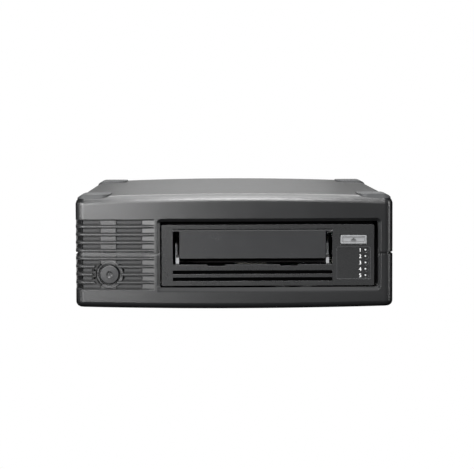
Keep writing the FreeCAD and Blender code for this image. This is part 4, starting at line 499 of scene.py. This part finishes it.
@dataclass(frozen=True)
class LightLens:
    """Smoked light pipes in a column, each with a small pale spot a little up and to the left
    of its middle: a painted highlight.
    """

    name: str
    smoke: Colour = (0.003, 0.003, 0.0032)
    # Colour of the painted highlight on each pipe.
    core: Colour = (0.3, 0.31, 0.31)
    radius: float = 0.55 * MM
    # How far the painted highlight sits left of and above each pipe's middle.
    shift: float = 0.25 * MM
    grain: float = 0.5 * MM
    roughness: float = 0.35
    flicker: float = 0.06

    def build(self) -> bpy.types.Material:
        """Make the material."""
        material, graph = new_material(self.name)
        vector, x, _, z = graph.place()
        first, last = centre("light_pipe_1"), centre(f"light_pipe_{LIGHTS}")
        pitch = (first.z - last.z) / (LIGHTS - 1)
        across = x - (first.x - self.shift)
        steps = (z - (first.z + self.shift)) / pitch + 0.5
        upward = (steps.alone("FRACT") - 0.5) * pitch
        # Mask of the painted highlight spot on each pipe.
        painted_glint = across * across + upward * upward < self.radius ** 2
        speckle = graph.noise(vector, self.grain)
        graph.surface(
            Base_Color=graph.tint(painted_glint, self.smoke, self.core),
            Roughness=speckle * self.flicker + self.roughness)
        return material


@dataclass(frozen=True)
class GuidePlastic:
    """Cartridge guides: pale pads on dark, dull arms."""

    name: str
    pale: Colour = (0.14, 0.142, 0.146)
    dark: Colour = (0.004, 0.004, 0.0042)
    pad: Span = (31.8 * MM, 35.9 * MM)
    grain: float = 0.6 * MM
    roughness: float = 0.82
    flicker: float = 0.08
    pad_gloss: float = 0.4
    depth: float = 0.01 * MM
    edge: float = 0.3 * MM

    def build(self) -> bpy.types.Material:
        """Make the material."""
        material, graph = new_material(self.name)
        vector, _, _, z = graph.place()
        speckle = graph.noise(vector, self.grain)
        pad = z.between(*self.pad)
        graph.surface(
            Base_Color=graph.tint(pad, self.dark, self.pale),
            Roughness=speckle * self.flicker + self.roughness - pad * self.pad_gloss,
            Normal=graph.bump(speckle, self.depth, self.edge))
        return material


# ------------------------------------------------------------------ modelling helpers
def clear_selection() -> None:
    """Deselect everything."""
    bpy.ops.object.select_all(action="DESELECT")


def settle(name: str, finish: bpy.types.Material, body: str) -> bpy.types.Object:
    """Name the active object, put its place in its mesh, dress it and hang it on a body.

    Args:
        name: The piece's name.
        finish: Its material.
        body: The body that it rides on.

    Returns:
        The piece.
    """
    piece = bpy.context.object
    piece.name = piece.data.name = name
    clear_selection()
    piece.select_set(True)
    bpy.context.view_layer.objects.active = piece
    bpy.ops.object.transform_apply(location=True, rotation=True, scale=True)
    piece.data.materials.clear()
    piece.data.materials.append(finish)
    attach(piece, body)
    LOG.info("piece %s: %d faces on %s", name, len(piece.data.polygons), body)
    return piece


def dress(nodes: Iterable[str], finish: bpy.types.Material) -> None:
    """Give CAD nodes a finish.

    Args:
        nodes: Their names.
        finish: The material.
    """
    for name in nodes:
        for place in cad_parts[name].material_slots:
            place.material = finish
        LOG.info("node %s: %s", name, finish.name)


def centre(node: str) -> Vector:
    """Middle of a CAD node's box.

    Args:
        node: Its name.

    Returns:
        The point.
    """
    low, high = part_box(node)
    return (Vector(low) + Vector(high)) / 2


def edit(*steps: Callable[[], object]) -> None:
    """Run steps on the active mesh in edit mode.

    Args:
        steps: Calls without arguments, in order.
    """
    bpy.ops.object.mode_set(mode="EDIT")
    for step in steps:
        step()
    bpy.ops.object.mode_set(mode="OBJECT")


def pick_faces(chosen: Callable[[bpy.types.MeshPolygon], bool]) -> None:
    """Select the active mesh's faces that pass a test, and nothing else.

    Args:
        chosen: The test.
    """
    edit(lambda: bpy.ops.mesh.select_all(action="DESELECT"))
    for face in bpy.context.object.data.polygons:
        face.select = chosen(face)


def thicken(depth: float) -> None:
    """Give the active flat mesh a wall, and apply it.

    Args:
        depth: The wall's thickness.
    """
    wall = bpy.context.object.modifiers.new("wall", "SOLIDIFY")
    wall.thickness = depth
    wall.offset = 0.0
    bpy.ops.object.modifier_apply(modifier=wall.name)


# ------------------------------------------------------------------ printed and moulded marks
@dataclass
class FlatMark:
    """Thin raised mark that faces the front."""

    name: str
    at: Point
    body: str = "enclosure"
    depth: float = 0.12 * MM
    softening: float = 0.3
    bar_steps: int = 3
    outline_steps: int = 5
    ring_sides: int = 64

    def start_square(self, width: float, height: float) -> None:
        """Add an upright sheet at the mark's place.

        Args:
            width: Its size across.
            height: Its size upwards.
        """
        clear_selection()
        bpy.ops.mesh.primitive_plane_add(size=1.0, location=self.at, rotation=UPRIGHT)
        bpy.context.object.scale = (width, height, 1.0)
        bpy.ops.object.transform_apply(location=False, rotation=False, scale=True)

    def finish(self, material: bpy.types.Material) -> bpy.types.Object:
        """Give the mark its thickness and its finish.

        Args:
            material: The finish.

        Returns:
            The piece.
        """
        thicken(self.depth)
        return settle(self.name, material, self.body)

    def bar(self, width: float, height: float,
            material: bpy.types.Material) -> bpy.types.Object:
        """Upright or level bar with softened corners.

        Args:
            width: Its size across.
            height: Its size upwards.
            material: The finish.

        Returns:
            The piece.
        """
        self.start_square(width, height)
        radius = min(width, height) * self.softening
        edit(lambda: bpy.ops.mesh.bevel(
            offset=radius, segments=self.bar_steps, affect="VERTICES"))
        return self.finish(material)

    def outline(self, width: float, height: float, line: float, radius: float,
                material: bpy.types.Material) -> bpy.types.Object:
        """Rounded rectangle drawn as a line.

        Args:
            width: Outer size across.
            height: Outer size upwards.
            line: Width of the line.
            radius: Outer corner radius.
            material: The finish.

        Returns:
            The piece.
        """
        self.start_square(width, height)
        edit(
            lambda: bpy.ops.mesh.bevel(
                offset=radius, segments=self.outline_steps, affect="VERTICES"),
            lambda: bpy.ops.mesh.select_all(action="SELECT"),
            lambda: bpy.ops.mesh.inset(thickness=line),
            lambda: bpy.ops.mesh.delete(type="FACE"))
        return self.finish(material)

    def open_ring(self, radius: float, line: float, gap: float,
                  material: bpy.types.Material) -> bpy.types.Object:
        """Ring with an opening at the top.

        Args:
            radius: Outer radius.
            line: Width of the ring.
            gap: Half the opening's angle in radians.
            material: The finish.

        Returns:
            The piece.
        """
        clear_selection()
        bpy.ops.mesh.primitive_circle_add(
            vertices=self.ring_sides, radius=radius, fill_type="NGON",
            location=self.at, rotation=UPRIGHT)
        edit(
            lambda: bpy.ops.mesh.inset(thickness=line),
            lambda: bpy.ops.mesh.delete(type="FACE"))
        pick_faces(lambda face: abs(math.atan2(face.center.x, face.center.y)) < gap)
        edit(lambda: bpy.ops.mesh.delete(type="FACE"))
        return self.finish(material)

    def triangle(self, width: float, height: float,
                 material: bpy.types.Material) -> bpy.types.Object:
        """Triangle that points upwards.

        Args:
            width: Its base.
            height: Its height.
            material: The finish.

        Returns:
            The piece.
        """
        self.start_square(width, height)
        edit(lambda: bpy.ops.mesh.select_all(action="DESELECT"))
        for corner in bpy.context.object.data.vertices:
            corner.select = corner.co.y > 0.0
        edit(lambda: bpy.ops.mesh.merge(type="CENTER"))
        return self.finish(material)

    def number(self, text: str, size: float, material: bpy.types.Material) -> bpy.types.Object:
        """Printed figures, right-aligned on the mark's place.

        Args:
            text: The figures.
            size: Their height.
            material: The finish.

        Returns:
            The piece.
        """
        clear_selection()
        bpy.ops.object.text_add(location=self.at, rotation=UPRIGHT)
        letters = bpy.context.object.data
        letters.body = text
        letters.size = size
        letters.align_x = "RIGHT"
        letters.align_y = "CENTER"
        letters.extrude = self.depth / 2
        bpy.ops.object.convert(target="MESH")
        return settle(self.name, material, self.body)


@dataclass
class PowerMark:
    """Moulded on-off sign on the round button, made as a thin raised ring and bar in
    near-black: painted shade standing in for the shadow in the sign's engraved groove.
    """

    ring: float = 2.7 * MM
    line: float = 0.6 * MM
    gap: float = 0.5
    bar: float = 2.4 * MM
    rise: float = 1.5 * MM

    def build(self, material: bpy.types.Material) -> None:
        """Make the ring and its bar.

        Args:
            material: The finish.
        """
        low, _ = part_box("power_button")
        x, _, z = centre("power_button")
        face = low[1]
        body = "body_power_button"
        ring = FlatMark("power_ring", (x, face, z), body)
        ring.open_ring(self.ring, self.line, self.gap, material)
        FlatMark("power_bar", (x, face, z + self.rise), body).bar(self.line, self.bar, material)


@dataclass
class EjectMark:
    """Raised rim and eject sign on the rectangular button."""

    button: tuple[float, float] = (18.1 * MM, 5.9 * MM)
    margin: float = 1.2 * MM
    line: float = 0.45 * MM
    corner: float = 0.35 * MM
    width: float = 4.0 * MM
    height: float = 1.2 * MM
    bar: float = 0.4 * MM
    arrow_rise: float = 0.35 * MM
    bar_drop: float = 0.9 * MM

    def build(self, rim: bpy.types.Material, ink: bpy.types.Material) -> None:
        """Make the rim, the triangle and the bar under it.

        Args:
            rim: Finish of the rim.
            ink: Finish of the sign.
        """
        low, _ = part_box("eject_button")
        x, _, z = centre("eject_button")
        face = low[1]
        body = "body_eject_button"
        width, height = (side - 2 * self.margin for side in self.button)
        edge = FlatMark("eject_rim", (x, face, z), body)
        edge.outline(width, height, self.line, self.corner, rim)
        arrow = FlatMark("eject_arrow", (x, face, z + self.arrow_rise), body)
        arrow.triangle(self.width, self.height, ink)
        FlatMark("eject_bar", (x, face, z - self.bar_drop), body).bar(self.width, self.bar, ink)


@dataclass
class LightMarks:
    """Figures beside the status lights and the line round their panel."""

    figure: float = 3.6 * MM
    reach: float = 3.0 * MM
    line: float = 0.3 * MM
    depth: float = 0.06 * MM
    corner: float = 1.5 * MM
    panel_width: Span = (71.4 * MM, 95.1 * MM)
    panel_height: Span = (20.9 * MM, 43.4 * MM)

    def build(self, ink: bpy.types.Material, trim: bpy.types.Material) -> None:
        """Make the figures and the line.

        Args:
            ink: Finish of the print.
            trim: Finish of the line.
        """
        left, right = self.panel_width
        bottom, top = self.panel_height
        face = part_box("drive_bezel")[0][1]
        middle = ((left + right) / 2, face, (bottom + top) / 2)
        FlatMark("light_panel_line", middle, depth=self.depth).outline(
            right - left, top - bottom, self.line, self.corner, trim)
        for index in range(1, LIGHTS + 1):
            low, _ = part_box(f"light_pipe_{index}")
            x, _, z = centre(f"light_pipe_{index}")
            figure = FlatMark(f"light_number_{index}", (x - self.reach, low[1], z))
            figure.number(str(index), self.figure, ink)


@dataclass
class Grille:
    """Louvre bars that stand in the slots of the front grille, just behind its face."""

    bow: float = 1234.6 * MM
    crown: float = -150.0 * MM
    sink: float = 1.4 * MM
    height: float = 1.9 * MM
    wall: float = 0.5 * MM
    edge: float = 0.12 * MM
    edge_steps: int = 2
    bow_steps: int = 6
    weld: float = 1e-6
    rows: int = 9
    plate_row: int = 5
    short_rows: tuple[int, ...] = (2, 3)
    full: tuple[Span, Span] = ((-105.6 * MM, -93.8 * MM), (-82.0 * MM, -64.8 * MM))
    short: tuple[Span, Span] = ((-105.6 * MM, -99.6 * MM), (-76.6 * MM, -64.8 * MM))

    def build(self, louvre: bpy.types.Material, plate: bpy.types.Material) -> None:
        """Make the bars, row by row from the lowest.

        Args:
            louvre: Finish of the bars.
            plate: Finish of the solid bar in the middle row.
        """
        for row in range(1, self.rows + 1):
            z = GRILLE_LOWEST + (row - 1) * GRILLE_PITCH
            finish = plate if row == self.plate_row else louvre
            spans = self.short if row in self.short_rows else self.full
            for side, span in zip(("left", "right"), spans):
                self.bar(f"louvre_{side}_{row}", span, z, finish)

    def bar(self, name: str, span: Span, z: float, finish: bpy.types.Material) -> None:
        """One bar that follows the bowed front.

        Args:
            name: Its name.
            span: X of its two ends.
            z: Height of its middle.
            finish: Its finish.
        """
        radius = self.bow - self.sink
        heart = self.crown + self.bow
        start, end = (math.asin(x / radius) for x in span)
        first = (span[0], heart - radius * math.cos(start), z)
        clear_selection()
        bpy.ops.mesh.primitive_plane_add(
            size=1.0, location=first, rotation=(0.0, math.radians(90), 0.0))
        bpy.context.object.scale = (self.height, self.wall, 1.0)
        bpy.ops.object.transform_apply(location=True, rotation=True, scale=True)
        edit(
            lambda: bpy.ops.mesh.bevel(
                offset=self.edge, segments=self.edge_steps, affect="VERTICES"),
            lambda: bpy.ops.mesh.spin(
                steps=self.bow_steps, angle=start - end, center=(0.0, heart, z),
                axis=(0.0, 0.0, 1.0)),
            lambda: bpy.ops.mesh.select_all(action="SELECT"),
            lambda: bpy.ops.mesh.remove_doubles(threshold=self.weld),
            lambda: bpy.ops.mesh.normals_make_consistent(inside=False))
        settle(name, finish, "enclosure")


@dataclass
class ShadeFoam:
    """Near-black strips behind the air slots of the drive's bezel and in the gap over it:
    painted shade, dark sheets put where those openings show only shadow.

    Each strip has its left, right, lowest, highest and front place.
    """

    wall: float = 1.4 * MM
    slots: tuple[float, ...] = (-45.0 * MM, 69.4 * MM, 18.6 * MM, 27.9 * MM, -140.8 * MM)
    gap: tuple[float, ...] = (-50.0 * MM, 97.0 * MM, 59.1 * MM, 62.6 * MM, -137.2 * MM)

    def build(self, foam: bpy.types.Material) -> None:
        """Make both strips.

        Args:
            foam: Their finish.
        """
        for name, place in (("shade_foam_slots", self.slots), ("shade_foam_gap", self.gap)):
            left, right, low, high, front = place
            middle = ((left + right) / 2, front + self.wall / 2, (low + high) / 2)
            FlatMark(name, middle, depth=self.wall).bar(right - left, high - low, foam)


# ------------------------------------------------------------------ studio
@dataclass
class Softbox:
    """One flat studio light, with its sides in metres and its power in watts."""

    name: str
    place: Point
    width: float
    height: float
    power: float
    shape: str = "RECTANGLE"
    aim: Point = FACE_AIM

    def build(self) -> None:
        """Add the light."""
        bpy.ops.object.light_add(type="AREA", location=self.place)
        lamp = bpy.context.object
        lamp.name = self.name
        lamp.data.shape = self.shape
        lamp.data.size = self.width
        lamp.data.size_y = self.height
        lamp.data.energy = self.power
        line = Vector(self.aim) - Vector(self.place)
        lamp.rotation_euler = line.to_track_quat("-Z", "Y").to_euler()
        lamp.visible_camera = False


@dataclass
class Studio:
    """White floor, soft lights and the camera."""

    eye: Point = (-12 * MM, -1550 * MM, 140.6 * MM)
    pitch: float = math.radians(-3.6)
    yaw: float = math.radians(0.565)
    roll: float = math.radians(0.17)
    lens: float = 153.19
    sensor: float = 36.0
    far: float = 50.0
    ambient: float = 0.005
    floor_side: float = 14.0
    floor_drop: float = 0.2 * MM
    lights: list[Softbox] = field(default_factory=lambda: [
        Softbox("key_far", (-0.47, -1.9, 0.2), 0.25, 0.36, 8.3),
        Softbox("key_near", (-0.65, -1.27, 0.2), 0.4, 0.36, 8.0),
        Softbox("key_wide", (-0.75, -1.05, 0.25), 0.3, 0.4, 5.8),
        Softbox("left_edge", (-0.85, -0.6, 0.2), 0.15, 0.36, 3.3),
        Softbox("left_rear", (-0.9, -0.15, 0.2), 0.25, 0.36, 0.6),
        Softbox("right_edge", (0.9, -0.35, 0.2), 0.15, 0.5, 2.4),
        Softbox("front_high", (0.0, -1.02, 1.0), 0.5, 0.25, 10.4),
        Softbox("front_middle", (0.0, -1.25, 0.75), 0.5, 0.2, 15.0),
        Softbox("front_low", (0.0, -1.4, 0.5), 0.5, 0.15, 4.0),
        Softbox("floor_bounce", (0.0, -0.3, 0.0005), 0.8, 0.24, 0.25, aim=(0.0, -0.3, 1.0)),
        Softbox("overhead_front", (0.0, -0.65, 1.35), 0.7, 0.5, 16.8),
        Softbox("overhead", (0.0, 0.0, 1.6), 0.9, 0.9, 19.2),
        Softbox("overhead_rear", (0.0, 1.0, 1.4), 1.2, 0.9, 17.8),
        Softbox("backdrop", (0.0, 2.0, 0.75), 1.0, 0.7, 1.35),
        Softbox("backdrop_glow", (0.0, 2.4, 0.2), 0.46, 0.5, 0.44, "ELLIPSE"),
        Softbox("backdrop_core", (0.0, 2.4, 0.2), 0.26, 0.4, 0.21, "ELLIPSE"),
    ])

    def build(self) -> None:
        """Add floor, world, lights and camera."""
        self.add_floor()
        self.add_world()
        for light in self.lights:
            light.build()
        self.add_camera()
        view = bpy.context.scene.view_settings
        view.view_transform = "Standard"
        view.look = "None"

    def add_floor(self) -> None:
        """Plain white floor, lit evenly."""
        clear_selection()
        bpy.ops.mesh.primitive_plane_add(
            size=self.floor_side, location=(0.0, 0.0, -self.floor_drop))
        floor = bpy.context.object
        floor.name = "floor"
        material, graph = new_material("studio_white")
        white = graph.node("ShaderNodeEmission", sockets={"Color": WHITE, "Strength": 1.0})
        graph.node("ShaderNodeOutputMaterial", sockets={"Surface": white})
        floor.data.materials.append(material)
        floor.visible_diffuse = False
        floor.visible_glossy = False

    def add_world(self) -> None:
        """Dim studio round the object and white behind it."""
        world = bpy.data.worlds.new("studio")
        world.use_nodes = True
        bpy.context.scene.world = world
        graph = Graph(world.node_tree)
        direct = graph.node("ShaderNodeLightPath", out="Is Camera Ray")
        room, white = (
            graph.node("ShaderNodeBackground", sockets={"Color": WHITE, "Strength": strength})
            for strength in (self.ambient, 1.0))
        both = graph.node("ShaderNodeMixShader", sockets={0: direct, 1: room, 2: white})
        graph.node("ShaderNodeOutputWorld", sockets={"Surface": both})

    def add_camera(self) -> None:
        """Long lens, a little above the top and looking slightly down."""
        level = math.cos(self.pitch)
        forward = Vector((
            math.sin(self.yaw) * level, math.cos(self.yaw) * level, math.sin(self.pitch)))
        right = Vector((math.cos(self.yaw), -math.sin(self.yaw), 0.0))
        up = right.cross(forward)
        across = math.cos(self.roll) * right - math.sin(self.roll) * up
        above = math.sin(self.roll) * right + math.cos(self.roll) * up
        turn = Matrix((across, above, -forward)).transposed().to_4x4()
        bpy.ops.object.camera_add()
        camera = bpy.context.object
        camera.matrix_world = Matrix.Translation(self.eye) @ turn
        camera.data.lens = self.lens
        camera.data.sensor_width = self.sensor
        camera.data.clip_end = self.far
        bpy.context.scene.camera = camera


# ------------------------------------------------------------------ the drive's own looks
class Part(Enum):
    """Finishes by the place where they are used."""

    CASE = CaseMoulding("case_charcoal", (0.006, 0.0062, 0.0066))
    BUTTON = Moulding("button_charcoal", (0.01, 0.0103, 0.011), 0.34, grain=0.6 * MM,
                      depth=0.02 * MM, edge=0.25 * MM)
    BEZEL = Moulding("bezel_charcoal", (0.007, 0.0072, 0.0076), 0.28, grain=0.4 * MM,
                     edge=0.12 * MM)
    FLAP = Moulding("flap_charcoal", (0.012, 0.0123, 0.013), 0.26, grain=0.4 * MM,
                    edge=0.2 * MM, matt=(54.7 * MM, 60 * MM))
    PALE = Moulding("pale_grey", (0.13, 0.132, 0.136), grain=0.35 * MM, depth=0.008 * MM,
                    edge=0.25 * MM)
    GUIDE = GuidePlastic("guide_plastic")
    # Near-black and without gloss: painted shade for the bezel's air slots and the gap over the
    # bezel.
    SHADE_FOAM = SoftRubber("shade_foam_black", (0.0015, 0.0015, 0.0015), 0.9, gloss=0.0, bloom=0.0)
    LOUVRE = PunchedScreen("louvre_grey", (0.012, 0.0122, 0.0128), pitch=0.9 * MM, hole=0.24)
    PLATE = Moulding("plate_charcoal", (0.012, 0.0122, 0.013), 0.3)
    TRIM = Moulding("trim_charcoal", (0.03, 0.0305, 0.032), 0.3)
    INK = Moulding("printed_white", (0.5, 0.5, 0.5), 0.5)
    # Near-black on-off sign: painted shade for the shadow in an engraved groove.
    MARK = Moulding("groove_shade_dark", (0.003, 0.003, 0.0032), 0.6)
    RIM = Moulding("rim_pale", (0.085, 0.086, 0.088), 0.45)
    SIGN = Moulding("sign_grey", (0.015, 0.01505, 0.0152), 0.5)
    BLACK = Moulding("black_plastic", (0.012, 0.012, 0.013), 0.35)
    GEAR = Moulding("acetal_white", (0.68, 0.66, 0.6), 0.3)
    JACKET = Moulding("cable_jacket", (0.02, 0.02, 0.022), 0.5)
    PAD = SoftRubber("pad_rubber", (0.02, 0.021, 0.022), 0.6)
    FOOT = SoftRubber("foot_rubber", (0.014, 0.014, 0.014))
    # A real screen, made near-black as painted shade so the gaps round the louvre bars look
    # shadowed.
    SCREEN = PunchedScreen("vent_screen_shade_black", (0.003, 0.003, 0.0032))
    DRIVE = SheetSteel("zinc_sheet", (0.56, 0.57, 0.58))
    # Near-black and dull: partly the tray's dark finish, partly painted shade for the gap below
    # the door.
    TRAY = SoftRubber("tray_shade_black", (0.002, 0.002, 0.0021), gloss=0.15, bloom=0.001)
    BRACKET = SheetSteel("bracket_sheet", (0.5, 0.51, 0.52), 0.38)
    SUPPLY = SheetSteel("galvanised_sheet", (0.54, 0.55, 0.56), 0.4, spangle=12 * MM)
    PANEL = SheetSteel("rear_panel_paint", (0.05, 0.051, 0.053), 0.5, metallic=0.2)
    SHELL = SheetSteel("socket_shell", (0.62, 0.62, 0.63), 0.28)
    CHROME = SheetSteel("bright_plating", (0.72, 0.72, 0.73), 0.14)
    STEEL = SheetSteel("drawn_steel", (0.5, 0.5, 0.51), 0.3)
    BOARD = CircuitBoard("coated_board")
    # Light pipes with a small painted highlight on each.
    LENS = LightLens("light_lens")


def node_finishes() -> dict[Part, list[str]]:
    """Which finish each CAD node gets.

    Returns:
        Node names by finish.
    """
    corners = ["front_left", "front_right", "rear_left", "rear_right"]
    return {
        Part.CASE: ["upper_case", "lower_case"],
        Part.BUTTON: ["power_button"],
        Part.BEZEL: ["drive_bezel"],
        Part.FLAP: ["door_flap"],
        Part.PALE: ["eject_button"],
        Part.GUIDE: ["slot_guides"],
        Part.BLACK: ["power_switch", "mains_inlet", "fan_frame", "fan_rotor", "take_up_reel"],
        Part.GEAR: ["loader_gear", "loader_pinion", "reel_chuck"],
        Part.JACKET: ["power_cable", "data_cables", "switch_cable"],
        Part.PAD: [f"top_pad_{corner}" for corner in corners],
        Part.FOOT: [f"foot_{corner}" for corner in corners],
        Part.SCREEN: ["vent_screen"],
        Part.DRIVE: ["drive_chassis", "drive_cover", "loader_carriage"],
        Part.TRAY: ["cartridge_tray"],
        Part.BRACKET: ["drive_bracket_left", "drive_bracket_right", "roller_plate"],
        Part.SUPPLY: ["psu_cage"],
        Part.PANEL: ["rear_panel"],
        Part.SHELL: ["data_socket_1", "data_socket_2"],
        Part.CHROME: ["fan_guard", *(f"guide_roller_{i}" for i in range(1, 5))],
        Part.STEEL: ["door_pin", "door_spring", "loader_motor", "chuck_motor", "take_up_motor",
                     "head_carriage", "case_screws", "drive_screws", "fan_screws"],
        Part.BOARD: ["front_board", "drive_board", "psu_board"],
        Part.LENS: [f"light_pipe_{i}" for i in range(1, LIGHTS + 1)],
    }


def main() -> None:
    """Build the studio, dress the nodes and add the fine pieces."""
    logging.basicConfig(level=logging.INFO, format="%(message)s")
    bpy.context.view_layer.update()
    Studio().build()
    finishes = {part: part.value.build() for part in Part}
    for part, nodes in node_finishes().items():
        dress(nodes, finishes[part])
    # The sign's near-black is painted shade for its engraved groove.
    PowerMark().build(finishes[Part.MARK])
    EjectMark().build(finishes[Part.RIM], finishes[Part.SIGN])
    LightMarks().build(finishes[Part.INK], finishes[Part.TRIM])
    Grille().build(finishes[Part.LOUVRE], finishes[Part.PLATE])
    # Strips of painted shade in the bezel's air slots and in the gap over the bezel.
    ShadeFoam().build(finishes[Part.SHADE_FOAM])


if __name__ == "__main__":
    main()
